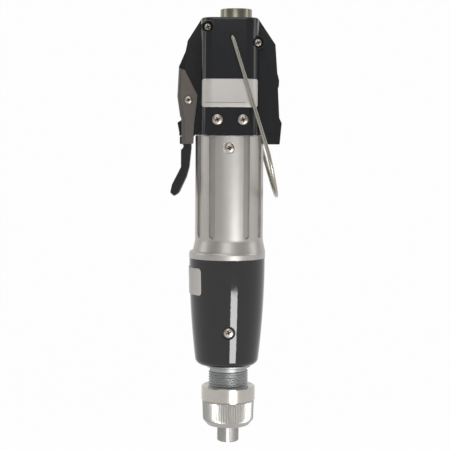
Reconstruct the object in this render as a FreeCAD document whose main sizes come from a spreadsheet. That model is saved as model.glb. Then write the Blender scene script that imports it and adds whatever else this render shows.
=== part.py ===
import FreeCAD, Part
import Sketcher
import math
import os
from FreeCAD import Placement, Rotation, Vector

# Electric torque screwdriver, millimetres.
# The frame stands on the tool's own axis: Z runs from the mouth of the bit collar (0) up to the
# power connector, the front is towards -Y, the lever hangs on -X and the direction rocker on +X.

doc = FreeCAD.newDocument("torque_screwdriver")

# Driving sizes: name, value, meaning

SIZES = [
    # Fits
    ("sliding_gap", 0.05, "radial clearance of turning and sliding fits"),
    ("seat_gap", 0.1, "clearance between pieces that lie on each other"),
    ("free_gap", 0.3, "clearance between pieces that pass each other"),
    # Bit collar and chuck
    ("mouth_radius", 3.9, "bore of the bit collar"),
    ("mouth_depth", 11.2, "mouth of the collar to the tip of the spindle"),
    ("collar_radius", 6.2, "outside of the bit collar"),
    ("collar_length", 23.7, "length of the bit collar"),
    ("collar_bevel", 0.6, "bevel round the mouth"),
    ("collar_travel", 3.0, "slide of the collar that frees the bit"),
    ("slit_width", 1.9, "slit across the mouth of the collar"),
    ("slit_length", 10.7, "depth of that slit"),
    ("relief_radius", 5.4, "recess that the detent balls move out into"),
    ("land_start", 14.6, "mouth to the land that holds the balls in"),
    ("land_length", 4.1, "length of that land"),
    ("spindle_radius", 4.6, "outside of the spindle"),
    ("hex_flats", 6.45, "across flats of the socket for quarter inch hexagon bits"),
    ("hex_depth", 24.0, "depth of the hexagon socket"),
    ("stop_ring_width", 1.0, "thickness of the stop ring"),
    ("stop_ring_radius", 5.2, "outside of the stop ring"),
    ("ring_groove", 0.5, "depth of the groove for the stop ring"),
    ("detent_height", 15.9, "mouth to the centres of the detent balls"),
    ("detent_radius", 1.6, "radius of a detent ball"),
    ("spring_collar_radius", 5.6, "rim on the spindle that backs the collar spring"),
    ("spring_collar_width", 1.5, "thickness of that rim"),
    ("collar_wire", 0.5, "wire of the collar spring"),
    # Torque setting nut
    ("nut_start", 9.7, "mouth of the collar to the lower face of the nut"),
    ("nut_length", 23.0, "length of the torque nut"),
    ("nut_floor", 4.5, "thickness of the nut's floor"),
    ("nut_band_radius", 15.5, "smooth band of the nut"),
    ("nut_band_length", 8.2, "length of the smooth band"),
    ("nut_grip_top", 15.0, "upper radius of the knurled band"),
    ("nut_grip_bottom", 14.6, "lower radius of the knurled band"),
    ("nut_nose_radius", 12.2, "radius of the nut's lower face"),
    ("nut_bevel", 3.4, "height of the bevel below the knurled band"),
    ("nut_cup_radius", 13.2, "recess in the top of the nut"),
    ("nut_cup_depth", 5.0, "depth of that recess"),
    ("thread_radius", 11.5, "outside of the nose thread"),
    ("thread_gap", 0.15, "radial clearance of the thread"),
    ("seat_inner", 6.5, "bore of the spring seat washer"),
    ("seat_outer", 9.1, "outside of the spring seat washer"),
    ("seat_width", 2.0, "thickness of the spring seat washer"),
    # Nose tube and clutch
    ("nose_start", 21.7, "mouth to the lower end of the nose tube"),
    ("nose_bore", 9.3, "bore of the nose tube"),
    ("shoulder_start", 43.7, "mouth to the shoulder of the nose tube"),
    ("shoulder_radius", 13.0, "shoulder that fills the hole of the casing"),
    ("flange_start", 48.2, "mouth to the flange of the nose tube"),
    ("flange_length", 15.5, "length of the flange"),
    ("core_radius", 16.2, "outside of the flange and the gear case"),
    ("chamber_start", 57.7, "mouth to the clutch chamber"),
    ("chamber_radius", 11.4, "bore of the clutch chamber"),
    ("disc_radius", 11.0, "outside of the clutch discs"),
    ("thrust_start", 60.2, "mouth to the thrust washer"),
    ("thrust_width", 1.6, "thickness of the thrust washer"),
    ("cam_width", 4.5, "thickness of the cam plate"),
    ("cam_flats", 7.6, "across flats of the spindle in the cam plate"),
    ("cam_gap", 0.8, "cam plate to drive plate"),
    ("drive_width", 3.5, "thickness of the drive plate"),
    ("clutch_ball_radius", 2.0, "radius of a clutch ball"),
    ("clutch_ball_pitch", 7.8, "axis to the clutch balls"),
    ("clutch_ball_lift", 1.0, "cam plate's face to the centres of the clutch balls"),
    ("clutch_wire", 1.9, "wire of the clutch spring"),
    ("clutch_spring_radius", 7.8, "mean radius of the clutch spring"),
    ("clutch_coils", 9.0, "coils of the clutch spring"),
    # Output bearing and gearbox
    ("bearing_start", 71.7, "mouth to the output bearing"),
    ("bearing_width", 6.0, "width of the output bearing"),
    ("bearing_radius", 12.0, "outside of the bearing"),
    ("bearing_bore", 6.0, "bore of the bearing"),
    ("race_ball_radius", 1.5, "radius of a bearing ball"),
    ("hub_radius", 5.0, "end of the carrier hub in the drive plate"),
    ("pilot_radius", 2.95, "end of the spindle in the carrier hub"),
    ("pilot_bore_depth", 8.0, "depth of the hub's bore"),
    ("gear_start", 80.7, "mouth to the ring gear"),
    ("case_end", 105.7, "mouth to the top of the gear case and the ring gear"),
    ("ring_gear_radius", 14.6, "outside of the ring gear"),
    ("gear_module", 0.5, "module of all gears"),
    ("sun_teeth", 12, "teeth of each sun gear"),
    ("planet_teeth", 18, "teeth of each planet gear"),
    ("gear_addendum", 0.85, "tooth tip over the pitch circle, in modules"),
    ("gear_dedendum", 1.15, "tooth root under the pitch circle, in modules"),
    ("gear_slack", 0.08, "tooth clearance along the pitch circle"),
    ("gear_width", 7.0, "face width of the planets"),
    ("pin_radius", 1.5, "planet pins"),
    ("carrier_width", 2.4, "thickness of the output carrier disc"),
    ("upper_carrier_width", 2.0, "thickness of the first stage carrier disc"),
    ("output_disc_radius", 12.5, "output carrier disc"),
    ("upper_disc_radius", 10.8, "first stage carrier disc"),
    ("gear_gap", 0.4, "end clearance of the gears"),
    # Motor
    ("shaft_radius", 1.6, "motor shaft"),
    ("can_gap", 0.4, "barrel to the motor can"),
    ("can_wall", 1.0, "wall of the motor can"),
    ("can_floor", 2.5, "floor of the motor can"),
    ("boss_radius", 6.0, "front boss of the motor"),
    ("boss_length", 1.8, "length of that boss"),
    ("bush_radius", 3.4, "outside of the shaft bushes"),
    ("can_length", 59.0, "length of the motor can over its face"),
    ("magnet_way", 14.0, "motor face to the magnets"),
    ("magnet_length", 32.0, "length of the magnets"),
    ("magnet_inner", 13.2, "inside of the magnets"),
    ("magnet_angle", 122.0, "arc of each magnet, degrees"),
    ("core_way", 12.0, "motor face to the armature core"),
    ("core_length", 36.0, "length of the armature core"),
    ("armature_radius", 12.6, "outside of the armature"),
    ("slot_width", 3.0, "winding slots of the armature"),
    ("slot_root", 7.0, "axis to the bottom of the winding slots"),
    ("slot_count", 5, "winding slots of the armature"),
    ("winding_end", 5.5, "length of the end turns"),
    ("commutator_radius", 5.0, "outside of the commutator"),
    ("commutator_way", 56.5, "motor face to the commutator"),
    ("commutator_length", 8.0, "length of the commutator"),
    ("cap_length", 10.0, "length of the motor end cap"),
    ("cap_roof", 3.0, "end wall of the motor end cap"),
    ("cap_bore", 12.5, "inside of the motor end cap"),
    ("brush_width", 4.0, "width of a carbon brush"),
    ("brush_length", 5.6, "length of a carbon brush"),
    ("brush_way", 4.3, "lower end of the commutator to the middle of the brushes"),
    ("holder_wall", 0.8, "wall of a brush holder"),
    # Clutch casing
    ("casing_shift", -1.0, "the outside of the casing leans this far to the left of the axis"),
    ("casing_bottom", 45.1, "mouth to the lower face of the casing"),
    ("casing_top", 107, "mouth to the upper face of the casing"),
    ("casing_radius", 21.8, "upper radius of the casing"),
    ("casing_waist", 17.9, "radius of the casing at its lower face, before its edge is rounded"),
    ("casing_bow", 502.0, "radius of the casing's curved flank"),
    ("casing_edge", 4.0, "rounding of the lower edge"),
    # Barrel
    ("barrel_radius", 19.5, "outside of the barrel"),
    ("barrel_wall", 2.2, "wall of the barrel"),
    ("barrel_top", 177.3, "mouth to the top of the barrel"),
    ("barrel_roof", 2.3, "thickness of the barrel's top shoulder"),
    ("lip_radius", 21.9, "lip of the barrel on the casing"),
    ("lip_length", 4.2, "height of the lip"),
    ("lip_edge", 1.6, "rounding of the lip"),
    ("flare_radius", 20.9, "barrel above the lip"),
    ("flare_end", 117.3, "mouth to the end of the flare"),
    ("flute_width", 4.0, "width of the flutes"),
    ("flute_depth", 0.9, "depth of the flutes"),
    ("flute_start", 119, "mouth to the lower end of the flutes"),
    ("flute_angle_near", 30.0, "first flute from the front, degrees"),
    ("flute_angle_far", 62.0, "second flute from the front, degrees"),
    ("neck_radius", 13.3, "neck of the barrel inside the head"),
    ("neck_bore", 11.0, "inside of the neck"),
    ("neck_length", 14.4, "length of the neck"),
    # Head housing
    ("head_half_width", 16.2, "axis to the sides of the head block"),
    ("head_half_depth", 20.5, "axis to the front and the back of the head block"),
    ("head_top", 242.9, "mouth to the top of the head"),
    ("head_corner", 7.5, "rounding of the block's upright corners"),
    ("head_edge", 1.2, "rounding of the block's top edges"),
    ("wall", 2.2, "wall of the head housing"),
    ("split_depth", 3.0, "axis to the joint face of the two housing halves"),
    ("slab_half_depth", 6.0, "half the thickness of the side wings"),
    ("wing_floor", 179.2, "mouth to the lower edge of the front wings"),
    ("lug_floor", 172.2, "mouth to the lower edge of the rear wings"),
    ("lug_inner", 19.9, "axis to the inner face of the rear wings beside the barrel"),
    ("left_wing", -25.3, "left edge of the wings"),
    ("left_corner_drop", 20.2, "top of the head down to the upper end of the left edge"),
    ("left_slope_x", -24.0, "foot of the left slope"),
    ("left_slope_drop", 12.3, "top of the head down to the foot of the left slope"),
    ("right_slope_x", 25.8, "foot of the right slope"),
    ("right_slope_drop", 14.2, "top of the head down to the foot of the right slope"),
    ("right_wing", 28.4, "lower end of the right edge"),
    ("right_middle_x", 27.2, "middle of the right edge"),
    ("right_middle_z", 209.3, "middle of the right edge"),
    ("brow_reach", 3.9, "the rear half stands out this far over the lever"),
    ("brow_drop", 26.8, "top of the head down to the brow's lower edge"),
    ("brow_top_drop", 18.2, "top of the head down to the brow's upper end"),
    ("lug_reach", 29.8, "axis to the crest of the rear lugs"),
    ("lug_crest_z", 184.4, "crest of the rear lugs"),
    ("lug_top_z", 187.3, "upper end of the rear lugs"),
    ("lug_foot", 28.7, "axis to the outer edge of the lugs at their foot"),
    ("left_lug_floor", 176.9, "lower edge of the left lug, over the lever's tail"),
    ("chin_radius", 13.5, "opening of the head for the barrel's neck"),
    # Head screws
    ("screw_radius", 1.5, "shank of the M3 screws"),
    ("pan_radius", 3.0, "head of the lower screws"),
    ("pan_height", 1.7, "height of that head"),
    ("small_pan_radius", 2.4, "head of the upper screws"),
    ("recess_radius", 2.95, "recess of the upper screws"),
    ("recess_depth", 14.0, "axis to the floor of those recesses"),
    ("boss_wall", 0.8, "wall round the recesses"),
    ("inner_corner", 0.6, "rounding inside the head housing"),
    ("left_screw_x", -12.4, "upper left screw"),
    ("left_screw_drop", 5.2, "top of the head down to the upper left screw"),
    ("right_screw_x", 15.7, "upper right screw"),
    ("right_screw_drop", 13.8, "top of the head down to the upper right screw"),
    ("low_screw_x", 7.15, "middle of the lower screws to each of them"),
    ("low_screw_shift", 0.35, "axis to the middle of the lower screws"),
    ("low_screw_z", 186.1, "mouth to the lower screws"),
    ("low_screw_length", 11.0, "shank of the lower screws"),
    ("high_screw_length", 22.0, "shank of the upper screws"),
    # Barrel and casing screws
    ("side_pan_radius", 2.9, "head of the barrel and casing screws"),
    ("barrel_screw_z", 170.2, "mouth to the barrel screw"),
    ("barrel_spot", 3.35, "spot face of the barrel screw"),
    ("barrel_spot_depth", 0.6, "depth of that spot face"),
    ("casing_screw_z", 65.8, "mouth to the casing screw"),
    ("casing_spot", 3.9, "recess of the casing screw"),
    ("casing_spot_floor", 18.4, "axis to the floor of that recess"),
    ("side_screw_length", 5.4, "shank of the barrel and casing screws"),
    ("frame_screw_pitch", 13.8, "axis to the screws that join nose tube and gear case"),
    ("frame_screw_radius", 1.25, "shank of those screws"),
    ("frame_head_radius", 1.9, "head of those screws"),
    ("frame_head_height", 2.0, "height of those heads"),
    # Connector
    ("plug_shift", 3.5, "axis to the middle of the connector"),
    ("plug_radius", 9.0, "outside of the connector shell"),
    ("plug_step", 0.4, "the shell is this much wider where it passes the head's roof"),
    ("plug_bore", 7.6, "inside of the connector shell"),
    ("plug_rise", 5.9, "rim of the connector over the top of the head"),
    ("plug_rim_radius", 9.9, "flange of the connector under the head's roof"),
    ("plug_rim_width", 1.8, "thickness of that flange"),
    ("insert_sunk", 6.2, "rim of the connector to the face of its insert"),
    ("insert_length", 6.0, "length of the insert"),
    ("contact_radius", 0.8, "contact pins"),
    ("contact_reach", 1.9, "contact pins over the face of the insert"),
    ("contact_tail", 2.6, "contact pins under the insert"),
    ("contact_pitch", 4.6, "connector axis to the contact pins"),
    # Electronics
    ("board_width", 22.0, "circuit board"),
    ("board_height", 40.0, "circuit board"),
    ("board_start", 194.2, "mouth to the lower edge of the board"),
    ("board_depth", 9.0, "axis to the front of the board"),
    ("board_thickness", 1.6, "circuit board"),
    ("post_radius", 2.6, "posts that carry the board"),
    ("post_foot", 6.0, "lower edge of the board to its first post"),
    ("post_step", 26.0, "first post to the second"),
    # Lever
    ("lever_half_width", 7.3, "axis to the cheeks of the lever"),
    ("lever_sheet", 1.0, "sheet of the lever"),
    ("lever_round", 2.2, "rounding of the lever's back"),
    ("pivot_x", -23.4, "lever pivot"),
    ("pivot_z", 197.2, "lever pivot"),
    ("pivot_pan", 2.2, "head of the pivot screw"),
    ("pivot_pan_height", 1.3, "height of that head"),
    ("nut_height", 1.8, "nut of the pivot screw"),
    ("nut_flats", 5.0, "across flats of that nut"),
    ("web_end", 187.7, "mouth to the lower end of the lever's back"),
    ("tail_half_width", 5.5, "half the width of the lever's black tail"),
    # Start switch
    ("start_z", 189.7, "mouth to the switch plunger"),
    ("start_left", -23.2, "left end of the start switch"),
    ("start_right", -16.8, "right end of the start switch"),
    ("start_floor", 180.3, "lower end of the start switch"),
    ("start_roof", 193.1, "upper end of the start switch"),
    ("switch_half_width", 2.7, "half the thickness of the switches"),
    ("plunger_radius", 1.2, "switch plunger"),
    ("plunger_length", 6.6, "length of the plunger"),
    # Direction rocker
    ("rocker_x", 23.8, "rocker pivot"),
    ("rocker_z", 209.3, "rocker pivot"),
    ("rocker_half_width", 2.6, "half the width of the rocker"),
    ("rocker_half_length", 6.2, "half the length of the rocker"),
    ("rocker_reach", 4.4, "pivot to the crest of the rocker"),
    ("rocker_pin", 0.8, "radius of the rocker's pivot pin"),
    ("direction_left", 14.9, "left end of the direction switch"),
    # Hanger bail
    ("bail_x", 1.3, "bail pivot"),
    ("bail_drop", 10.7, "top of the head down to the bail pivot"),
    ("bail_wire", 1.15, "radius of the bail's wire"),
    ("bail_half_width", 23.0, "axis to the legs of the bail"),
    ("bail_reach", 93.0, "pivot to the end of the bail"),
    ("bail_corner", 2.2, "bend at the ends of the bail"),
    ("bail_lean", 16.3, "the bail stands this far off the vertical, degrees"),
    # Plates
    ("plate_thickness", 0.35, "rating plate and badge"),
    ("plate_start", 193, "mouth to the lower edge of the rating plate"),
    ("plate_height", 15.7, "height of the rating plate"),
    ("plate_half_width", 15.6, "half the width of the rating plate, seen from the front"),
    ("plate_corner", 1.3, "corners of the rating plate"),
    ("badge_start", 86.5, "mouth to the lower edge of the badge"),
    ("badge_height", 15.4, "height of the badge"),
    ("badge_angle", 47.5, "half the arc of the badge round the left side, degrees"),
    ("badge_corner", 1.9, "corners of the badge"),
]

sheet = doc.addObject("Spreadsheet::Sheet", "Sizes")
for row, (alias, value, meaning) in enumerate(SIZES, start=1):
    sheet.set("A%d" % row, alias)
    sheet.set("B%d" % row, str(value))
    sheet.setAlias("B%d" % row, alias)
    sheet.set("C%d" % row, meaning)
doc.recompute()


class Size:
    """A size with its present value and the expression that binds it to the sheet."""

    def __init__(self, value, text=None):
        self.value = float(value)
        self.text = text or "%.6g" % value

    def __float__(self):
        return self.value

    def __add__(self, other):
        other = size(other)
        return Size(self.value + other.value, "(%s + %s)" % (self.text, other.text))

    def __sub__(self, other):
        other = size(other)
        return Size(self.value - other.value, "(%s - %s)" % (self.text, other.text))

    def __mul__(self, other):
        other = size(other)
        return Size(self.value * other.value, "(%s * %s)" % (self.text, other.text))

    def __truediv__(self, other):
        other = size(other)
        return Size(self.value / other.value, "(%s / %s)" % (self.text, other.text))

    def __neg__(self):
        return Size(-self.value, "(-1 * %s)" % self.text)

    def __radd__(self, other):
        return size(other) + self

    def __rsub__(self, other):
        return size(other) - self

    def __rmul__(self, other):
        return size(other) * self


def size(number):
    return number if isinstance(number, Size) else Size(number)


def cosine(angle):
    return Size(math.cos(math.radians(float(angle))), "cos(%s)" % size(angle).text)


def sine(angle):
    return Size(math.sin(math.radians(float(angle))), "sin(%s)" % size(angle).text)


class Sheet:
    """Every size of the sheet as an attribute of its own name."""


s = Sheet()
for alias, value, meaning in SIZES:
    setattr(s, alias, Size(sheet.get(alias), "Sizes." + alias))

ZERO = Size(0)

# Heights that hang from the top of the head

barrel_bore = s.barrel_radius - s.barrel_wall
can_radius = barrel_bore - s.can_gap
can_end = s.case_end + s.can_length
magnet_start = s.case_end + s.magnet_way
core_start = s.case_end + s.core_way
commutator_start = s.case_end + s.commutator_way
brush_height = commutator_start + s.brush_way
left_corner_z = s.head_top - s.left_corner_drop
left_slope_z = s.head_top - s.left_slope_drop
right_slope_z = s.head_top - s.right_slope_drop
brow_z = s.head_top - s.brow_drop
brow_top_z = s.head_top - s.brow_top_drop
left_screw_z = s.head_top - s.left_screw_drop
right_screw_z = s.head_top - s.right_screw_drop
bail_z = s.head_top - s.bail_drop
plug_top = s.head_top + s.plug_rise
insert_top = plug_top - s.insert_sunk
contact_top = insert_top + s.contact_reach
contact_foot = insert_top - s.insert_length - s.contact_tail
pieces = {}


# Sketches and features

def origin_feature(body, role):
    return [item for item in body.Origin.OriginFeatures if item.Role == role][0]


def new_body(name):
    body = doc.addObject("PartDesign::Body", name)
    body.Label = name
    return body


def bind(item, path, number):
    """Set a property of a feature to a size and keep it bound to the sheet."""
    number = size(number)
    if "." not in path:
        setattr(item, path, number.value)
    if "Sizes." in number.text:
        item.setExpression(path, number.text)


def hold_point(sketch, index, position, a, b):
    for kind, number in (("DistanceX", a), ("DistanceY", b)):
        number = size(number)
        held = sketch.addConstraint(Sketcher.Constraint(kind, -1, 1, index, position, number.value))
        if "Sizes." in number.text:
            sketch.setExpression("Constraints[%d]" % held, number.text)


def hold_radius(sketch, index, radius):
    radius = size(radius)
    held = sketch.addConstraint(Sketcher.Constraint("Radius", index, radius.value))
    if "Sizes." in radius.text:
        sketch.setExpression("Constraints[%d]" % held, radius.text)


def draw_circle(sketch, a, b, radius):
    centre = Vector(float(a), float(b), 0)
    index = sketch.addGeometry(Part.Circle(centre, Vector(0, 0, 1), float(radius)), False)
    hold_point(sketch, index, 3, a, b)
    hold_radius(sketch, index, radius)


def draw_outline(sketch, corners):
    """A closed outline. A corner is (a, b), or (a, b, radius) where it is rounded.

    After (a, b, None, bow) the outline runs to the next corner on an arc of radius bow.
    """
    count = len(corners)
    points = [Vector(float(c[0]), float(c[1]), 0) for c in corners]
    starts, ends, arcs = list(points), list(points), {}
    for i, corner in enumerate(corners):
        if len(corner) != 3:
            continue
        back = (points[i - 1] - points[i]).normalize()
        ahead = (points[(i + 1) % count] - points[i]).normalize()
        half = back.getAngle(ahead) / 2
        radius = float(corner[2])
        ends[i] = points[i] + back * (radius / math.tan(half))
        starts[i] = points[i] + ahead * (radius / math.tan(half))
        middle = points[i] + (back + ahead).normalize() * (radius / math.sin(half))
        left_turn = (-back).cross(ahead).z > 0
        first, last = (ends[i], starts[i]) if left_turn else (starts[i], ends[i])
        angles = [math.atan2((p - middle).y, (p - middle).x) for p in (first, last)]
        arcs[i] = (middle, radius, angles, left_turn)
    lines, bows = [], {}
    for i, corner in enumerate(corners):
        near, far = starts[i], ends[(i + 1) % count]
        line = Part.LineSegment(near, far)
        if len(corner) == 4:
            bow = float(corner[3])
            bows[i] = bow
            chord = far - near
            side = Vector(chord.y, -chord.x, 0).normalize()
            rise = bow - math.sqrt(bow ** 2 - (chord.Length / 2) ** 2)
            line = Part.Arc(near, (near + far) / 2 + side * rise, far)
        lines.append(sketch.addGeometry(line, False))
    for i, corner in enumerate(corners):
        before, after = lines[i - 1], lines[i]
        if i not in arcs:
            sketch.addConstraint(Sketcher.Constraint("Coincident", before, 2, after, 1))
            hold_point(sketch, after, 1, corner[0], corner[1])
            if i in bows:
                hold_radius(sketch, after, corner[3])
            continue
        middle, radius, angles, left_turn = arcs[i]
        if angles[1] < angles[0]:
            angles[1] += 2 * math.pi
        circle = Part.Circle(middle, Vector(0, 0, 1), radius)
        arc = sketch.addGeometry(Part.ArcOfCircle(circle, angles[0], angles[1]), False)
        mark = sketch.addGeometry(Part.Point(points[i]), True)
        near, far = (1, 2) if left_turn else (2, 1)
        sketch.addConstraint(Sketcher.Constraint("Tangent", before, 2, arc, near))
        sketch.addConstraint(Sketcher.Constraint("Tangent", after, 1, arc, far))
        hold_radius(sketch, arc, corner[2])
        sketch.addConstraint(Sketcher.Constraint("PointOnObject", mark, 1, before))
        sketch.addConstraint(Sketcher.Constraint("PointOnObject", mark, 1, after))
        hold_point(sketch, mark, 1, corner[0], corner[1])


def new_sketch(body, role, lift, outlines, turn=None):
    """A sketch on an origin plane, lifted along its normal, or on that plane turned about Z."""
    sketch = body.newObject("Sketcher::SketchObject", body.Name + "_outline")
    sketch.AttachmentSupport = [(origin_feature(body, role), "")]
    sketch.MapMode = "FlatFace"
    if turn is None:
        sketch.AttachmentOffset = Placement(Vector(0, 0, float(lift)), Rotation())
        if "Sizes." in size(lift).text:
            sketch.setExpression("AttachmentOffset.Base.z", size(lift).text)
    else:
        angle = float(turn)
        across, along = size(lift) * sine(turn), size(lift) * cosine(turn)
        base = Vector(float(across), 0, float(along))
        sketch.AttachmentOffset = Placement(base, Rotation(Vector(0, 1, 0), angle))
        sketch.setExpression("AttachmentOffset.Base.x", across.text)
        sketch.setExpression("AttachmentOffset.Base.z", along.text)
        sketch.setExpression("AttachmentOffset.Rotation.Angle", size(turn).text)
    for outline in outlines:
        if isinstance(outline, tuple):
            draw_circle(sketch, *outline)
        else:
            draw_outline(sketch, outline)
    return sketch


def add_feature(body, kind, sketch, length, reverse):
    feature = body.newObject("PartDesign::" + kind, body.Name + "_" + kind.lower())
    feature.Profile = sketch
    if length is None:
        feature.Type = "ThroughAll"
    else:
        bind(feature, "Length", length)
    feature.Reversed = reverse
    return feature


def pad(body, role, lift, outlines, length, reverse=False):
    """Material from the sketch along its normal: up, to the front or to the right."""
    return add_feature(body, "Pad", new_sketch(body, role, lift, outlines), length, reverse)


def pocket(body, role, lift, outlines, length=None, reverse=False, turn=None):
    """A cut from the sketch against its normal: down, to the back or to the left."""
    sketch = new_sketch(body, role, lift, outlines, turn)
    return add_feature(body, "Pocket", sketch, length, reverse)


def revolve(body, outline, kind="Revolution"):
    sketch = new_sketch(body, "XZ_Plane", ZERO, [outline])
    feature = body.newObject("PartDesign::" + kind, body.Name + "_turned")
    feature.Profile = sketch
    feature.ReferenceAxis = (sketch, ["V_Axis"])
    feature.Angle = 360
    return feature


def turned(name, outline):
    body = new_body(name)
    revolve(body, outline)
    return body


def repeat_round(body, features, count):
    """Copies of the last features at equal steps about Z."""
    doc.recompute()
    pattern = body.newObject("PartDesign::PolarPattern", body.Name + "_pattern")
    pattern.Originals = features
    pattern.Axis = (origin_feature(body, "Z_Axis"), [""])
    pattern.Angle = 360
    pattern.Occurrences = int(float(count))
    if "Sizes." in size(count).text:
        pattern.setExpression("Occurrences", count.text)
    body.Tip = pattern
    return pattern


def mirror(body, features, role):
    doc.recompute()
    copy = body.newObject("PartDesign::Mirrored", body.Name + "_mirror")
    copy.Originals = features
    copy.MirrorPlane = (origin_feature(body, role), [""])
    body.Tip = copy
    return copy


def round_edges(body, radius, chosen):
    """Round the edges of the body so far for which chosen(edge) is true."""
    doc.recompute()
    base = body.Tip
    names = ["Edge%d" % (i + 1) for i, edge in enumerate(base.Shape.Edges) if chosen(edge)]
    rounding = body.newObject("PartDesign::Fillet", body.Name + "_rounding")
    rounding.Base = (base, names)
    bind(rounding, "Radius", radius)
    return rounding


def place(item, x=ZERO, y=ZERO, z=ZERO, axis=None, angle=0.0):
    """Give a piece its place, bound to the sheet, and a turn about an axis through it."""
    rotation = Rotation(Vector(*axis), float(angle)) if axis else Rotation()
    item.Placement = Placement(Vector(float(x), float(y), float(z)), rotation)
    for letter, number in zip("xyz", (x, y, z)):
        if "Sizes." in size(number).text:
            item.setExpression("Placement.Base." + letter, size(number).text)
    return item


def group(name, items):
    together = doc.addObject("Part::Compound", name)
    together.Links = items
    return keep(name, together)


def keep(name, item):
    item.Label = name
    pieces[name] = item
    return item


def plain_feature(name, shape):
    item = doc.addObject("Part::Feature", name)
    item.Shape = shape
    return item


def screw(name, head_radius, head_height, shank_radius, shank_length):
    """A screw along Z: the head's seat is at 0, the shank below it, the head above it."""
    return turned(name, [
        (ZERO, -shank_length),
        (shank_radius, -shank_length),
        (shank_radius, ZERO),
        (head_radius, ZERO),
        (head_radius, head_height, head_height * 0.45),
        (ZERO, head_height),
    ])


FRONT = (1, 0, 0), 90.0
BACK = (1, 0, 0), -90.0


def hexagon(flats, turn=0.0):
    """Corners of a hexagon with two flats across X."""
    reach = size(flats) / (2 * math.cos(math.radians(30)))
    angles = [30 + turn + 60 * i for i in range(6)]
    unit = [(math.cos(math.radians(a)), math.sin(math.radians(a))) for a in angles]
    return [(reach * round(c, 9), reach * round(d, 9)) for c, d in unit]


def rectangle(left, right, low, high, *radius):
    """A rectangle between two levels each way, with rounded corners where a radius is given."""
    return [(left, low, *radius), (right, low, *radius), (right, high, *radius), (left, high, *radius)]


def ball(name, radius, x, y, z):
    item = doc.addObject("Part::Sphere", name)
    bind(item, "Radius", radius)
    return place(item, x, y, z)


def around(pitch, angles):
    """Points at a distance from the axis, each at its own angle."""
    return [(pitch * round(math.cos(math.radians(angle)), 9),
             pitch * round(math.sin(math.radians(angle)), 9)) for angle in angles]


def spring(name, radius, wire, start, end, coils):
    """A coil of square wire between two heights, in short straight runs."""
    radius, wire, start, end = (float(item) for item in (radius, wire, start, end))
    runs = 14 * int(float(coils))
    rings = []
    for run in range(runs + 1):
        angle = 2 * math.pi * float(coils) * run / runs
        low = start + (end - start - wire) * run / runs
        corners = [(radius - wire / 2, low), (radius + wire / 2, low),
                   (radius + wire / 2, low + wire), (radius - wire / 2, low + wire)]
        rings.append([Vector(r * math.cos(angle), r * math.sin(angle), height)
                      for r, height in corners])
    faces = [polygon_face(rings[0]), polygon_face(rings[-1])]
    for below, above in zip(rings, rings[1:]):
        for i in range(4):
            k = (i + 1) % 4
            faces.append(polygon_face([below[i], below[k], above[k]]))
            faces.append(polygon_face([below[i], above[k], above[i]]))
    return keep(name, plain_feature(name, Part.Solid(Part.Shell(faces))))


def polygon_face(points):
    return Part.Face(Part.makePolygon(points + [points[0]]))


# Chuck: spindle, stop ring, detent balls, bit collar and its spring

tip = s.mouth_depth
land_end = s.land_start + s.land_length
rim_start = s.collar_length + s.collar_travel + s.free_gap * 3
rim_end = rim_start + s.spring_collar_width
thrust_end = s.thrust_start + s.thrust_width
cam_end = thrust_end + s.cam_width
drive_start = cam_end + s.cam_gap
drive_end = drive_start + s.drive_width
hub_end = drive_start + s.pilot_bore_depth
groove_radius = s.spindle_radius - s.ring_groove
stop_ring_end = s.land_start - s.seat_gap
stop_ring_start = stop_ring_end - s.stop_ring_width
bore_end = tip - s.collar_travel - s.free_gap
ring_room = stop_ring_start - s.collar_travel - s.free_gap

spindle = turned("spindle", [
    (ZERO, tip),
    (s.spindle_radius - s.ring_groove, tip),
    (s.spindle_radius, tip + s.ring_groove),
    (s.spindle_radius, stop_ring_start - s.sliding_gap),
    (groove_radius, stop_ring_start - s.sliding_gap),
    (groove_radius, stop_ring_end + s.sliding_gap),
    (s.spindle_radius, stop_ring_end + s.sliding_gap),
    (s.spindle_radius, rim_start),
    (s.spring_collar_radius, rim_start),
    (s.spring_collar_radius, rim_end),
    (s.spindle_radius, rim_end),
    (s.spindle_radius, s.chamber_start),
    (ZERO, s.chamber_start),
])
pad(spindle, "XY_Plane", s.chamber_start, [hexagon(s.cam_flats)], cam_end - s.chamber_start)
pad(spindle, "XY_Plane", cam_end, [(ZERO, ZERO, s.pilot_radius)], hub_end - s.free_gap - cam_end)
pocket(spindle, "XY_Plane", tip + s.hex_depth, [hexagon(s.hex_flats)], s.hex_depth + 1)
pocket(spindle, "YZ_Plane", s.spindle_radius + 1,
       [(ZERO, s.detent_height, s.detent_radius + s.sliding_gap)], s.spindle_radius * 2 + 2)
keep("spindle", spindle)

keep("stop_ring", turned("stop_ring", rectangle(
    groove_radius + s.sliding_gap, s.stop_ring_radius, stop_ring_start, stop_ring_end)))

detent_reach = s.spindle_radius - s.detent_radius
group("detent_balls", [
    ball("detent_ball_right", s.detent_radius, detent_reach, ZERO, s.detent_height),
    ball("detent_ball_left", s.detent_radius, -detent_reach, ZERO, s.detent_height),
])

collar = turned("bit_collar", [
    (s.mouth_radius, ZERO),
    (s.collar_radius - s.collar_bevel, ZERO),
    (s.collar_radius, s.collar_bevel),
    (s.collar_radius, s.collar_length),
    (s.relief_radius, s.collar_length),
    (s.relief_radius, land_end),
    (s.spindle_radius + s.sliding_gap, land_end),
    (s.spindle_radius + s.sliding_gap, s.land_start),
    (s.relief_radius, s.land_start),
    (s.relief_radius, ring_room),
    (s.spindle_radius + s.free_gap, ring_room),
    (s.spindle_radius + s.free_gap, bore_end),
    (s.mouth_radius, bore_end),
])
slit = rectangle(-s.slit_width / 2, s.slit_width / 2, Size(-1), s.slit_length)
pocket(collar, "XZ_Plane", s.collar_radius + 1, [slit], s.collar_radius * 2 + 2)
keep("bit_collar", collar)

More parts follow.
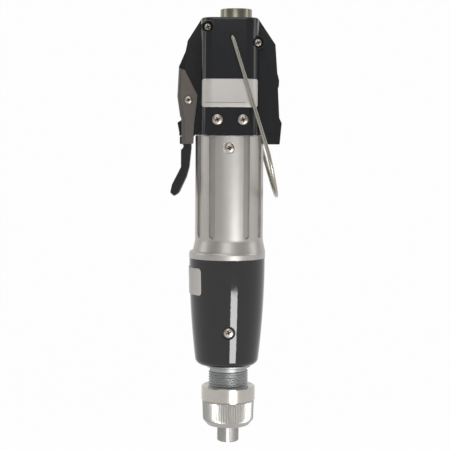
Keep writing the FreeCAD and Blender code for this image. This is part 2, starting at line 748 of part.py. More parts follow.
spring("collar_spring", (s.spindle_radius + s.relief_radius) / 2, s.collar_wire,
       land_end + s.seat_gap, rim_start - s.seat_gap, 5)


# Torque nut, spring seat, thrust washer and clutch spring

nut_end = s.nut_start + s.nut_length
floor_top = s.nut_start + s.nut_floor
band_start = nut_end - s.nut_band_length
thread_bore = s.thread_radius + s.thread_gap
seat_start = floor_top + s.seat_gap
seat_end = seat_start + s.seat_width
nut_bore = s.collar_radius + s.free_gap
cup_floor = nut_end - s.nut_cup_depth

keep("torque_nut", turned("torque_nut", [
    (nut_bore, s.nut_start),
    (s.nut_nose_radius, s.nut_start),
    (s.nut_grip_bottom, s.nut_start + s.nut_bevel),
    (s.nut_grip_top, band_start - 0.6),
    (s.nut_grip_top - 0.5, band_start - 0.4),
    (s.nut_grip_top - 0.5, band_start),
    (s.nut_band_radius, band_start, 0.3),
    (s.nut_band_radius, nut_end, 0.6),
    (s.nut_cup_radius, nut_end),
    (s.nut_cup_radius, cup_floor),
    (thread_bore, cup_floor),
    (thread_bore, floor_top),
    (nut_bore, floor_top),
]))

keep("spring_seat", turned("spring_seat", rectangle(
    s.seat_inner, s.seat_outer, seat_start, seat_end)))

keep("thrust_washer", turned("thrust_washer", rectangle(
    s.spindle_radius + s.free_gap, s.seat_outer, s.thrust_start, thrust_end - s.seat_gap)))

spring("clutch_spring", s.clutch_spring_radius, s.clutch_wire,
       seat_end + s.seat_gap, s.thrust_start - s.seat_gap, s.clutch_coils)


# Nose tube, gear case and the screws that join them

flange_end = s.flange_start + s.flange_length
bearing_end = s.bearing_start + s.bearing_width
frame_spots = around(s.frame_screw_pitch, (90, 210, 330))
frame_way = s.frame_screw_radius + s.sliding_gap
frame_head_way = s.frame_head_radius + s.seat_gap
frame_seat = s.flange_start + s.frame_head_height + s.free_gap
frame_bite = s.bearing_start - flange_end - s.free_gap * 3

nose = turned("nose_tube", [
    (s.nose_bore, s.nose_start),
    (s.thread_radius - 0.5, s.nose_start),
    (s.thread_radius, s.nose_start + 0.5),
    (s.thread_radius, s.shoulder_start),
    (s.shoulder_radius, s.shoulder_start),
    (s.shoulder_radius, s.flange_start),
    (s.core_radius, s.flange_start),
    (s.core_radius, flange_end),
    (s.chamber_radius, flange_end),
    (s.chamber_radius, s.chamber_start),
    (s.nose_bore, s.chamber_start),
])
pocket(nose, "XY_Plane", flange_end + 1, [(a, b, frame_way) for a, b in frame_spots],
       s.flange_length + 2)
pocket(nose, "XY_Plane", frame_seat, [(a, b, frame_head_way) for a, b in frame_spots],
       frame_seat - s.flange_start)
keep("nose_tube", nose)

frame_screws = []
for number, (a, b) in enumerate(frame_spots, start=1):
    item = screw("frame_screw_%d" % number, s.frame_head_radius, s.frame_head_height,
                 s.frame_screw_radius, flange_end - frame_seat + frame_bite)
    frame_screws.append(place(item, a, b, frame_seat, (1, 0, 0), 180.0))
group("frame_screws", frame_screws)

case_bore = s.ring_gear_radius + s.sliding_gap
case = turned("gear_case", [
    (s.chamber_radius, flange_end),
    (s.core_radius, flange_end),
    (s.core_radius, s.case_end),
    (case_bore, s.case_end),
    (case_bore, s.gear_start),
    (s.output_disc_radius + 1, s.gear_start),
    (s.output_disc_radius + 1, bearing_end),
    (s.bearing_radius + s.sliding_gap, bearing_end),
    (s.bearing_radius + s.sliding_gap, s.bearing_start),
    (s.chamber_radius, s.bearing_start),
])
pocket(case, "XY_Plane", flange_end + frame_bite + s.free_gap,
       [(a, b, frame_way) for a, b in frame_spots], frame_bite + s.free_gap)
side_way = s.screw_radius + s.sliding_gap
casing_screw_end = s.casing_spot_floor - s.side_screw_length
pocket(case, "XZ_Plane", s.core_radius + 1, [(ZERO, s.casing_screw_z, side_way)],
       s.core_radius + 1 - casing_screw_end + s.free_gap)
keep("gear_case", case)


# Clutch: cam plate, balls and drive plate

ball_way = s.clutch_ball_radius + s.sliding_gap
ball_height = cam_end + s.clutch_ball_lift
ball_spots = around(s.clutch_ball_pitch, (90, 210, 330))
ball_holes = [(a, b, ball_way) for a, b in ball_spots]
plate_bevel = 0.5

cam = turned("cam_plate", [
    (ZERO, thrust_end),
    (s.disc_radius - plate_bevel, thrust_end),
    (s.disc_radius, thrust_end + plate_bevel),
    (s.disc_radius, cam_end),
    (ZERO, cam_end),
])
pocket(cam, "XY_Plane", cam_end + 1, [hexagon(s.cam_flats + s.sliding_gap * 2)], s.cam_width + 2)
pocket(cam, "XY_Plane", cam_end, ball_holes, s.clutch_ball_radius - s.clutch_ball_lift + s.seat_gap)
keep("cam_plate", cam)

group("clutch_balls", [ball("clutch_ball_%d" % number, s.clutch_ball_radius, a, b, ball_height)
                       for number, (a, b) in enumerate(ball_spots, start=1)])

drive = turned("drive_plate", [
    (s.hub_radius + s.sliding_gap, drive_start),
    (s.disc_radius, drive_start),
    (s.disc_radius, drive_end - plate_bevel),
    (s.disc_radius - plate_bevel, drive_end),
    (s.hub_radius + s.sliding_gap, drive_end),
])
ball_roof = ball_height + s.clutch_ball_radius + s.seat_gap
pocket(drive, "XY_Plane", ball_roof, ball_holes, ball_roof - drive_start)
keep("drive_plate", drive)


# Output bearing

race_pitch = (s.bearing_radius + s.bearing_bore) / 2
race_way = s.race_ball_radius + s.sliding_gap
bearing_middle = s.bearing_start + s.bearing_width / 2
race_gap = s.race_ball_radius * 0.6
outer_race = turned("bearing_outer_race", rectangle(
    race_pitch + race_gap, s.bearing_radius, s.bearing_start, bearing_end))
inner_race = turned("bearing_inner_race", rectangle(
    s.bearing_bore + s.sliding_gap, race_pitch - race_gap, s.bearing_start, bearing_end))
for race in (outer_race, inner_race):
    revolve(race, (race_pitch, bearing_middle, race_way), "Groove")
    keep(race.Name, race)
race_spots = around(race_pitch, range(0, 360, 45))
group("bearing_balls", [ball("bearing_ball_%d" % number, s.race_ball_radius, a, b, bearing_middle)
                        for number, (a, b) in enumerate(race_spots, start=1)])


# Planetary gearbox: two stages in one ring gear

sun_teeth = int(float(s.sun_teeth))
planet_teeth = int(float(s.planet_teeth))
ring_teeth = sun_teeth + 2 * planet_teeth
module = float(s.gear_module)
pitch_radius = (s.sun_teeth + s.planet_teeth) * s.gear_module / 2
output_disc_start = bearing_end + s.free_gap
output_disc_end = output_disc_start + s.carrier_width
lower_gear_start = output_disc_end + s.gear_gap
lower_gear_end = lower_gear_start + s.gear_width
upper_disc_start = lower_gear_end + s.gear_gap * 3
upper_disc_end = upper_disc_start + s.upper_carrier_width
upper_gear_start = upper_disc_end + s.gear_gap
upper_gear_end = upper_gear_start + s.gear_width
planet_bore = s.pin_radius + s.sliding_gap
PRESSURE_ANGLE = math.radians(20)


def tooth_wire(teeth, inside, height):
    """The outline of a gear's teeth: flanks through involute points at tip, pitch and root."""
    pitch = teeth * module / 2
    base = pitch * math.cos(PRESSURE_ANGLE)
    slack = float(s.gear_slack) / (2 * pitch)
    quarter = math.pi / (2 * teeth)
    half = quarter + slack if inside else quarter - slack
    tip_step, root_step = float(s.gear_addendum) * module, float(s.gear_dedendum) * module
    tip_circle = pitch - tip_step if inside else pitch + tip_step
    root_circle = pitch + root_step if inside else pitch - root_step

    def half_angle(radius):
        steep = math.acos(min(1.0, base / radius))
        at_pitch = math.tan(PRESSURE_ANGLE) - PRESSURE_ANGLE
        return half + at_pitch - (math.tan(steep) - steep)

    if inside:
        flank = [(tip_circle, half_angle(tip_circle)), (root_circle, half_angle(root_circle))]
    else:
        foot = max(base, root_circle)
        flank = [(root_circle, half_angle(foot)), (pitch, half_angle(pitch)),
                 (tip_circle, half_angle(tip_circle))]
    points = []
    for tooth in range(teeth):
        middle = 2 * math.pi * (tooth + (0.5 if inside else 0.0)) / teeth
        if inside:
            rim = [(r, -a) for r, a in flank] + [(r, a) for r, a in reversed(flank)]
        else:
            rim = [(r, -a) for r, a in flank] + [(r, a) for r, a in reversed(flank)]
        points += [Vector(r * math.cos(middle + a), r * math.sin(middle + a), height)
                   for r, a in rim]
    return Part.makePolygon(points + [points[0]])


def gear_shape(teeth, start, end, bore):
    rim = Part.Face(tooth_wire(teeth, False, float(start)))
    hole = Part.Face(Part.Wire(Part.makeCircle(float(bore), Vector(0, 0, float(start)))))
    return rim.cut(hole).extrude(Vector(0, 0, float(end) - float(start)))


ring_outside = Part.Face(Part.Wire(Part.makeCircle(
    float(s.ring_gear_radius), Vector(0, 0, float(s.gear_start)))))
ring_inside = Part.Face(tooth_wire(ring_teeth, True, float(s.gear_start)))
ring_height = Vector(0, 0, float(s.case_end) - float(s.gear_start))
keep("ring_gear", plain_feature("ring_gear", ring_outside.cut(ring_inside).extrude(ring_height)))

pin_angles = (0, 120, 240)
pin_spots = around(pitch_radius, pin_angles)
pin_circles = [(a, b, s.pin_radius) for a, b in pin_spots]

carrier = turned("output_carrier", [
    (s.pilot_radius + s.sliding_gap, drive_start),
    (s.hub_radius, drive_start),
    (s.hub_radius, drive_end + s.seat_gap),
    (s.bearing_bore, drive_end + s.seat_gap),
    (s.bearing_bore, output_disc_start),
    (s.output_disc_radius, output_disc_start),
    (s.output_disc_radius, output_disc_end),
    (ZERO, output_disc_end),
    (ZERO, hub_end),
    (s.pilot_radius + s.sliding_gap, hub_end),
])
pad(carrier, "XY_Plane", output_disc_end, pin_circles, lower_gear_end + 0.6 - output_disc_end)
keep("output_carrier", carrier)

disc = turned("first_carrier_disc", [
    (s.shaft_radius + 1, upper_disc_start),
    (s.upper_disc_radius, upper_disc_start),
    (s.upper_disc_radius, upper_disc_end),
    (s.shaft_radius + 1, upper_disc_end),
])
pad(disc, "XY_Plane", upper_disc_end, pin_circles, upper_gear_end + 0.6 - upper_disc_end)
lower_sun = plain_feature("lower_sun", gear_shape(
    sun_teeth, lower_gear_start, upper_disc_end, s.shaft_radius - 0.4))
first_carrier = doc.addObject("Part::MultiFuse", "first_carrier")
first_carrier.Shapes = [disc, lower_sun]
keep("first_carrier", first_carrier)

sun_start = upper_gear_start
sun_end = upper_gear_end + 0.6
keep("sun_gear", plain_feature("sun_gear", gear_shape(
    sun_teeth, sun_start, sun_end, s.shaft_radius + s.sliding_gap)))

planet_phase = 180.0 + 180.0 / planet_teeth
for stage, start, end in (("output", lower_gear_start, lower_gear_end),
                          ("first", upper_gear_start, upper_gear_end)):
    shape = gear_shape(planet_teeth, ZERO, end - start, planet_bore)
    for number, (angle, (a, b)) in enumerate(zip(pin_angles, pin_spots), start=1):
        name = "%s_planet_%d" % (stage, number)
        item = plain_feature(name, shape)
        keep(name, place(item, a, b, start, (0, 0, 1), angle + planet_phase))


# Motor

can_floor_top = s.case_end + s.can_floor
cap_end = can_end + s.cap_length
cap_roof_start = cap_end - s.cap_roof
shaft_end = cap_end - s.free_gap
boss_start = s.case_end - s.boss_length
bush_bore = s.shaft_radius + s.sliding_gap
core_end = core_start + s.core_length

keep("motor_can", turned("motor_can", [
    (s.bush_radius + s.sliding_gap, boss_start),
    (s.boss_radius, boss_start),
    (s.boss_radius, s.case_end),
    (can_radius, s.case_end, 0.6),
    (can_radius, can_end),
    (can_radius - s.can_wall, can_end),
    (can_radius - s.can_wall, can_floor_top),
    (s.bush_radius + s.sliding_gap, can_floor_top),
]))
group("shaft_bushes", [
    turned("lower_bush", rectangle(bush_bore, s.bush_radius, boss_start, can_floor_top)),
    turned("upper_bush", rectangle(bush_bore, s.bush_radius, cap_roof_start, cap_end)),
])

magnets = []
for side, angle in (("right", 0.0), ("left", 180.0)):
    magnet = turned("magnet_" + side, rectangle(
        s.magnet_inner, can_radius - s.can_wall - s.seat_gap,
        magnet_start, magnet_start + s.magnet_length))
    bind(magnet.Tip, "Angle", s.magnet_angle)
    place(magnet, axis=(0, 0, 1), angle=angle - float(s.magnet_angle) / 2)
    magnet.setExpression("Placement.Rotation.Angle", "%g - Sizes.magnet_angle / 2" % angle)
    magnets.append(magnet)
group("motor_magnets", magnets)

keep("motor_shaft", turned("motor_shaft", [
    (ZERO, sun_start),
    (s.shaft_radius, sun_start),
    (s.shaft_radius, shaft_end - 0.4),
    (s.shaft_radius - 0.4, shaft_end),
    (ZERO, shaft_end),
]))

core = turned("armature_core", rectangle(bush_bore, s.armature_radius, core_start, core_end))
slot = rectangle(s.slot_root, s.armature_radius + 1, -s.slot_width / 2, s.slot_width / 2)
slot_cut = pocket(core, "XY_Plane", core_end + 1, [slot], s.core_length + 2)
repeat_round(core, [slot_cut], s.slot_count)
keep("armature_core", core)

turn_radius = s.armature_radius - 1.4
winding_bore = bush_bore + s.free_gap
turns_start = core_end + s.seat_gap
turns_end = core_end + s.winding_end
low_turns_end = core_start - s.seat_gap
low_turns_start = core_start - s.winding_end
winding = turned("armature_winding", [
    (winding_bore, turns_start),
    (turn_radius, turns_start),
    (turn_radius, turns_end, 2.0),
    (winding_bore, turns_end),
])
revolve(winding, [
    (winding_bore, low_turns_start),
    (turn_radius, low_turns_start, 2.0),
    (turn_radius, low_turns_end),
    (winding_bore, low_turns_end),
])
coil = rectangle(s.slot_root + s.seat_gap, turn_radius,
                 s.seat_gap - s.slot_width / 2, s.slot_width / 2 - s.seat_gap)
coil_run = pad(winding, "XY_Plane", low_turns_end - 0.5, [coil],
               turns_start - low_turns_end + 1)
repeat_round(winding, [coil_run], s.slot_count)
keep("armature_winding", winding)

commutator_end = commutator_start + s.commutator_length
keep("commutator", turned("commutator", rectangle(
    bush_bore, s.commutator_radius, commutator_start, commutator_end)))

barrel_screw_end = s.barrel_radius - s.barrel_spot_depth - s.side_screw_length
end_cap = turned("motor_end_cap", [
    (s.bush_radius + s.sliding_gap, cap_roof_start),
    (s.cap_bore, cap_roof_start),
    (s.cap_bore, can_end),
    (can_radius, can_end),
    (can_radius, cap_end, 0.6),
    (s.bush_radius + s.sliding_gap, cap_end),
])
pocket(end_cap, "XZ_Plane", can_radius + 1, [(ZERO, s.barrel_screw_z, side_way)],
       can_radius + 1 - barrel_screw_end + s.free_gap)
keep("motor_end_cap", end_cap)

brush_start = s.commutator_radius + s.sliding_gap
brush_half = s.brush_width / 2
holder_hole = brush_half + s.sliding_gap
holder_half = holder_hole + s.holder_wall
holder_start = brush_start + 1.2
holder_end = s.cap_bore - 0.5
brushes, holders = [], []
for side, angle in (("right", 0.0), ("left", 180.0)):
    brush = new_body("brush_" + side)
    pad(brush, "YZ_Plane", brush_start,
        [rectangle(-brush_half, brush_half, brush_height - brush_half,
                   brush_height + brush_half)], s.brush_length)
    brushes.append(place(brush, axis=(0, 0, 1), angle=angle))
    holder = new_body("holder_" + side)
    pad(holder, "YZ_Plane", holder_start, [
        rectangle(-holder_half, holder_half, brush_height - holder_half,
                  brush_height + holder_half),
        rectangle(-holder_hole, holder_hole, brush_height - holder_hole,
                  brush_height + holder_hole)], holder_end - holder_start)
    holders.append(place(holder, axis=(0, 0, 1), angle=angle))
group("carbon_brushes", brushes)
group("brush_holders", holders)


# Clutch casing

casing_bore = s.core_radius + s.seat_gap
casing = turned("clutch_casing", [
    (ZERO, s.casing_bottom),
    (s.casing_waist, s.casing_bottom, None, s.casing_bow),
    (s.casing_radius, s.casing_top),
    (ZERO, s.casing_top),
])


def on_ring(radius, height):
    """Chooses circular edges of a radius at a height."""
    def chosen(edge):
        curve = edge.Curve
        return (isinstance(curve, Part.Circle) and abs(curve.Radius - float(radius)) < 0.01
                and abs(curve.Center.z - float(height)) < 0.01)
    return chosen


round_edges(casing, s.casing_edge, on_ring(s.casing_waist, s.casing_bottom))
axis_x = -s.casing_shift
pocket(casing, "XY_Plane", s.casing_top + 1, [(axis_x, ZERO, casing_bore)],
       s.casing_top + 1 - s.flange_start)
pocket(casing, "XY_Plane", s.flange_start + 1, [(axis_x, ZERO, s.shoulder_radius + s.seat_gap)],
       s.flange_start + 2 - s.casing_bottom)
pocket(casing, "XY_Plane", s.casing_top + 1, [(axis_x, ZERO, can_radius + s.seat_gap)],
       s.casing_top + 1 - s.case_end)
pocket(casing, "XZ_Plane", s.casing_radius + 2, [(axis_x, s.casing_screw_z, s.casing_spot)],
       s.casing_radius + 2 - s.casing_spot_floor)
pocket(casing, "XZ_Plane", s.casing_radius + 2, [(axis_x, s.casing_screw_z, side_way)],
       s.casing_radius + 2 - s.core_radius + 2)
place(casing, s.casing_shift)
keep("clutch_casing", casing)

casing_screw = screw("casing_screw", s.side_pan_radius, s.pan_height * 0.8, s.screw_radius,
                     s.side_screw_length)
keep("casing_screw", place(casing_screw, ZERO, -s.casing_spot_floor, s.casing_screw_z, *FRONT))


# Barrel

barrel = new_body("barrel")
pad(barrel, "XY_Plane", s.casing_top, [(s.casing_shift, ZERO, s.lip_radius)], s.lip_length)
round_edges(barrel, s.lip_edge, on_ring(s.lip_radius, s.casing_top + s.lip_length))
roof_start = s.barrel_top - s.barrel_roof
neck_end = s.barrel_top + s.neck_length
revolve(barrel, [
    (ZERO, s.casing_top),
    (s.flare_radius, s.casing_top),
    (s.flare_radius, s.casing_top + s.lip_length - 0.3),
    (s.barrel_radius, s.flare_end, 8.0),
    (s.barrel_radius, s.barrel_top, 0.5),
    (s.neck_radius, s.barrel_top),
    (s.neck_radius, neck_end),
    (ZERO, neck_end),
])
pocket(barrel, "XY_Plane", roof_start, [(ZERO, ZERO, barrel_bore)],
       roof_start - s.casing_top + 1)
pocket(barrel, "XY_Plane", neck_end + 1, [(ZERO, ZERO, s.neck_bore)], s.neck_length + 4)
flute_floor = s.barrel_radius - s.flute_depth
flute = [(-s.flute_width / 2, s.flute_start, 1.9), (s.flute_width / 2, s.flute_start, 1.9),
         (s.flute_width / 2, s.barrel_top + 1), (-s.flute_width / 2, s.barrel_top + 1)]
flutes = [pocket(barrel, "XZ_Plane", flute_floor, [flute], s.flute_depth + 2, True, turn)
          for turn in (s.flute_angle_near, s.flute_angle_far)]
mirror(barrel, flutes, "YZ_Plane")
mirror(barrel, flutes, "XZ_Plane")
repeat_round(barrel, flutes, 2)
pocket(barrel, "XZ_Plane", s.barrel_radius + 1, [(ZERO, s.barrel_screw_z, s.barrel_spot)],
       s.barrel_spot_depth + 1)
pocket(barrel, "XZ_Plane", s.barrel_radius + 1, [(ZERO, s.barrel_screw_z, side_way)],
       s.barrel_radius + 1 - barrel_bore + 1)
low_spots = [(s.low_screw_shift - s.low_screw_x, s.low_screw_z),
             (s.low_screw_shift + s.low_screw_x, s.low_screw_z)]
low_screw_way = [(a, b, side_way) for a, b in low_spots]
pocket(barrel, "XZ_Plane", s.neck_radius + 1, low_screw_way, s.neck_radius * 2 + 2)
keep("barrel", barrel)

barrel_screw = screw("barrel_screw", s.side_pan_radius, s.pan_height, s.screw_radius,
                     s.side_screw_length)
keep("barrel_screw", place(barrel_screw, ZERO, -(s.barrel_radius - s.barrel_spot_depth),
                           s.barrel_screw_z, *FRONT))


# Head housing: two halves that meet in front of the axis

head_floor = s.barrel_top + s.seat_gap
head_height = s.head_top - head_floor
inner_width = s.head_half_width - s.wall
inner_depth = s.head_half_depth - s.wall
roof = s.head_top - s.wall
boss_radius = s.recess_radius + s.boss_wall
switch_way = s.switch_half_width + s.seat_gap
front_slab = s.slab_half_depth - s.split_depth
back_slab = s.slab_half_depth + s.split_depth
high_spots = [(s.left_screw_x, left_screw_z), (s.right_screw_x, right_screw_z)]
pivot_hole = (s.pivot_x, s.pivot_z, side_way)
rocker_way = s.rocker_half_length + 1.0
direction_end = s.rocker_x - 1.8
bail_way = s.bail_wire + s.sliding_gap

front = new_body("head_front_shell")
pad(front, "XY_Plane", head_floor, [[
    (-s.head_half_width, -s.split_depth),
    (-s.head_half_width, -s.head_half_depth, s.head_corner),
    (s.head_half_width, -s.head_half_depth, s.head_corner),
    (s.head_half_width, -s.split_depth),
]], head_height)


def on_top_front(edge):
    middle = edge.BoundBox.Center
    return abs(middle.z - float(s.head_top)) < 0.01 and abs(middle.y) > float(s.split_depth) + 0.1


round_edges(front, s.head_edge, on_top_front)
pad(front, "XZ_Plane", s.split_depth, [[
    (-s.head_half_width, s.head_top),
    (s.left_slope_x, left_slope_z),
    (s.left_wing, left_corner_z),
    (s.left_wing, s.wing_floor),
    (s.right_wing, s.wing_floor),
    (s.right_middle_x, s.right_middle_z),
    (s.right_slope_x, right_slope_z),
    (s.head_half_width, s.head_top),
]], front_slab)
inside = rectangle(-inner_width, inner_width, head_floor + s.wall, roof, s.inner_corner)
pocket(front, "XZ_Plane", s.split_depth, [inside], inner_depth - s.split_depth, True)
pad(front, "XZ_Plane", s.split_depth, [(a, b, boss_radius) for a, b in high_spots],
    s.recess_depth + 3.4 - s.split_depth)
boss_back = s.chin_radius
pad(front, "XZ_Plane", boss_back, [(a, b, s.pan_radius) for a, b in low_spots],
    inner_depth + 0.5 - boss_back)
far_front = s.head_half_depth + 1
pocket(front, "XZ_Plane", far_front, [(a, b, s.recess_radius) for a, b in high_spots],
       far_front - s.recess_depth)
pocket(front, "XZ_Plane", far_front, [(a, b, side_way) for a, b in high_spots + low_spots]
       + [pivot_hole], far_front)
pocket(front, "XZ_Plane", far_front, [(s.bail_x, bail_z, bail_way)], s.wall + 2)
chin_cut = [(ZERO, ZERO, s.chin_radius)]
plug_cut = [(s.plug_shift, ZERO, s.plug_radius + s.plug_step + s.seat_gap)]
pocket(front, "XY_Plane", head_floor + s.wall + 1, chin_cut, s.wall + 2)
pocket(front, "XY_Plane", s.head_top + 1, plug_cut, s.wall + 2)
keep("head_front_shell", front)

rear = new_body("head_rear_shell")
pad(rear, "XY_Plane", head_floor, [[
    (-s.head_half_width, -s.split_depth),
    (s.head_half_width, -s.split_depth),
    (s.head_half_width, s.head_half_depth, s.head_corner),
    (-s.head_half_width, s.head_half_depth, s.head_corner),
]], head_height)
round_edges(rear, s.head_edge, on_top_front)
pad(rear, "XZ_Plane", s.split_depth, [[
    (-s.head_half_width, s.head_top),
    (s.left_slope_x, left_slope_z),
    (s.left_wing, brow_top_z),
    (s.left_wing - s.brow_reach, brow_z),
    (s.left_wing, brow_z),
    (s.left_wing, s.lug_top_z),
    (-s.lug_reach, s.lug_crest_z, 0.8),
    (-s.lug_foot, s.left_lug_floor + 1.8),
    (-s.lug_foot, s.left_lug_floor),
    (-s.lug_inner, s.left_lug_floor),
    (-s.lug_inner, head_floor),
    (s.lug_inner, head_floor),
    (s.lug_inner, s.lug_floor),
    (s.lug_foot, s.lug_floor, 0.6),
    (s.lug_reach, s.lug_crest_z, 0.8),
    (s.right_wing, s.lug_top_z),
    (s.right_middle_x, s.right_middle_z),
    (s.right_slope_x, right_slope_z),
    (s.head_half_width, s.head_top),
]], back_slab, True)
pocket(rear, "XZ_Plane", s.split_depth, [inside], inner_depth + s.split_depth)
pad(rear, "XZ_Plane", s.split_depth, [(a, b, boss_radius) for a, b in high_spots],
    s.split_depth + 12, True)
pad(rear, "XZ_Plane", -inner_depth - 0.5, [(a, b, s.pan_radius) for a, b in low_spots],
    inner_depth + 0.5 - boss_back)
board_back = s.board_depth + s.board_thickness + s.seat_gap
first_post_z = s.board_start + s.post_foot
post_spots = [(-s.board_width * 0.3, first_post_z), (s.board_width * 0.3, first_post_z + s.post_step)]
pad(rear, "XZ_Plane", -inner_depth - 0.5, [(a, b, s.post_radius) for a, b in post_spots],
    inner_depth + 0.5 - board_back)
screw_tip = s.high_screw_length - s.recess_depth + s.free_gap
pocket(rear, "XZ_Plane", s.split_depth + 1, [(a, b, side_way) for a, b in high_spots],
       screw_tip + s.split_depth + 1)
pocket(rear, "XZ_Plane", ZERO, [(a, b, side_way) for a, b in low_spots])
pocket(rear, "XZ_Plane", s.split_depth + 1, [pivot_hole], back_slab + 2)
pocket(rear, "XZ_Plane", -inner_depth + 1, [(s.bail_x, bail_z, bail_way)], s.wall + 3)
pocket(rear, "XY_Plane", head_floor + s.wall + 1, chin_cut, s.wall + 2)
pocket(rear, "XY_Plane", s.head_top + 1, plug_cut, s.wall + 2)
pocket(rear, "XZ_Plane", s.split_depth, [rectangle(
    s.start_left - s.seat_gap, s.start_right + s.seat_gap,
    s.start_floor - s.seat_gap, s.start_roof + s.seat_gap)], s.split_depth + switch_way)
pocket(rear, "XZ_Plane", s.split_depth, [rectangle(
    s.direction_left - s.seat_gap, s.right_wing + 2,
    s.rocker_z - rocker_way, s.rocker_z + rocker_way)], s.split_depth + switch_way)
pocket(rear, "XZ_Plane", s.split_depth,
       [(s.rocker_x, s.rocker_z, s.rocker_pin + s.sliding_gap)], back_slab - 1)
pocket(rear, "YZ_Plane", s.start_left + 1, [(ZERO, s.start_z, s.plunger_radius + s.sliding_gap)],
       s.start_left + 2 - s.left_wing)
keep("head_rear_shell", rear)

head_screws = []
for number, (a, b) in enumerate(high_spots, start=1):
    item = screw("upper_screw_%d" % number, s.small_pan_radius, s.pan_height, s.screw_radius,
                 s.high_screw_length)
    head_screws.append(place(item, a, -s.recess_depth, b, *FRONT))
for number, (a, b) in enumerate(low_spots, start=1):
    item = screw("front_screw_%d" % number, s.pan_radius, s.pan_height, s.screw_radius,
                 s.low_screw_length)
    head_screws.append(place(item, a, -s.head_half_depth, b, *FRONT))
    item = screw("back_screw_%d" % number, s.pan_radius, s.pan_height, s.screw_radius,
                 s.low_screw_length)
    head_screws.append(place(item, a, s.head_half_depth, b, *BACK))
group("head_screws", head_screws)


# Power connector

rim_top = roof - s.seat_gap
rim_bottom = rim_top - s.plug_rim_width
connector = turned("connector_shell", [
    (s.plug_bore, rim_bottom),
    (s.plug_rim_radius, rim_bottom),
    (s.plug_rim_radius, rim_top),
    (s.plug_radius + s.plug_step, rim_top),
    (s.plug_radius + s.plug_step, s.head_top),
    (s.plug_radius, s.head_top),
    (s.plug_radius, plug_top, 0.4),
    (s.plug_bore, plug_top),
])
keep("connector_shell", place(connector, s.plug_shift))

contact_spots = around(s.contact_pitch, range(0, 360, 60))
insert_radius = s.plug_bore - s.sliding_gap
insert = turned("connector_insert", [
    (ZERO, insert_top - s.insert_length),
    (insert_radius, insert_top - s.insert_length),
    (insert_radius, insert_top),
    (ZERO, insert_top),
])
pocket(insert, "XY_Plane", insert_top + 1,
       [(a, b, s.contact_radius + s.sliding_gap) for a, b in contact_spots], s.insert_length + 2)
keep("connector_insert", place(insert, s.plug_shift))

contacts = []
for number, (a, b) in enumerate(contact_spots, start=1):
    contact = turned("contact_%d" % number, [
        (ZERO, contact_foot),
        (s.contact_radius, contact_foot),
        (s.contact_radius, contact_top - 0.4),
        (s.contact_radius - 0.4, contact_top),
        (ZERO, contact_top),
    ])
    contacts.append(place(contact, s.plug_shift + a, b))
group("connector_contacts", contacts)


# Circuit board and switches

board = new_body("circuit_board")
pad(board, "XZ_Plane", -s.board_depth, [rectangle(
    -s.board_width / 2, s.board_width / 2, s.board_start, s.board_start + s.board_height, 1.0)],
    s.board_thickness, True)
part_front = s.board_depth - 5
for low, high, half in ((6, 18, 0.3), (24, 30, 0.38)):
    pad(board, "XZ_Plane", -s.board_depth, [rectangle(
        -s.board_width * half, s.board_width * half, s.board_start + low, s.board_start + high)],
        s.board_depth - part_front)
keep("circuit_board", board)

start_switch = new_body("start_switch")
pad(start_switch, "XZ_Plane", s.switch_half_width, [rectangle(
    s.start_left, s.start_right, s.start_floor, s.start_roof, 0.5)],
    s.switch_half_width * 2, True)
plunger_way = s.plunger_radius + s.sliding_gap
plunger_depth = s.plunger_length - 2.3
pocket(start_switch, "YZ_Plane", s.start_left + plunger_depth, [(ZERO, s.start_z, plunger_way)],
       plunger_depth + 1)
keep("start_switch", start_switch)

plunger_start = s.pivot_x - 3.0
plunger = new_body("start_plunger")
pad(plunger, "YZ_Plane", plunger_start, [(ZERO, s.start_z, s.plunger_radius)], s.plunger_length)
keep("start_plunger", plunger)

direction = new_body("direction_switch")
pad(direction, "XZ_Plane", s.switch_half_width, [rectangle(
    s.direction_left, direction_end - s.free_gap, s.rocker_z - rocker_way + s.seat_gap,
    s.rocker_z + rocker_way - s.seat_gap, 0.5)], s.switch_half_width * 2, True)
keep("direction_switch", direction)

rocker = new_body("direction_rocker")
crest = s.rocker_reach
long_end = s.rocker_half_length
pad(rocker, "XZ_Plane", s.rocker_half_width, [[
    (-1.2, -1.2), (-0.6, -long_end + 1.6), (crest - 1.5, -long_end), (crest - 0.2, -long_end * 0.7),
    (crest, -0.8), (crest * 0.8, long_end * 0.45), (crest * 0.55, long_end), (-0.2, long_end - 0.8),
    (-1.2, 1.2)]], s.rocker_half_width * 2, True)
pad(rocker, "XZ_Plane", s.split_depth - s.seat_gap, [(ZERO, ZERO, s.rocker_pin)],
    back_slab - 1 - s.free_gap, True)
keep("direction_rocker", place(rocker, s.rocker_x, ZERO, s.rocker_z))


# Lever: sheet channel round the left wing, with its black tail

channel = new_body("lever_channel")
inner_half = s.lever_half_width - s.lever_sheet
back = [(-5.6, 18.2), (-6.4, 1.9), (-3.7, -11.5), (-3.5, -25.0)]
edge = [(2.5, -24.8), (3.2, -14.0), (4.8, -1.4), (5.2, 2.7), (-2.1, 16.8)]


def from_pivot(points):
    """Points of the lever at rest, given from its pivot."""
    return [(s.pivot_x + a, s.pivot_z + b) for a, b in points]


pad(channel, "XZ_Plane", s.lever_half_width, [from_pivot(back + edge)],
    s.lever_half_width * 2, True)


def on_back(edge):
    """The outer edges of the lever's back, below its upper end."""
    middle = edge.BoundBox.Center
    upright = edge.BoundBox.ZLength > 3
    on_cheek = abs(abs(middle.y) - float(s.lever_half_width)) < 0.01
    return upright and on_cheek and middle.x < float(s.pivot_x) - 3


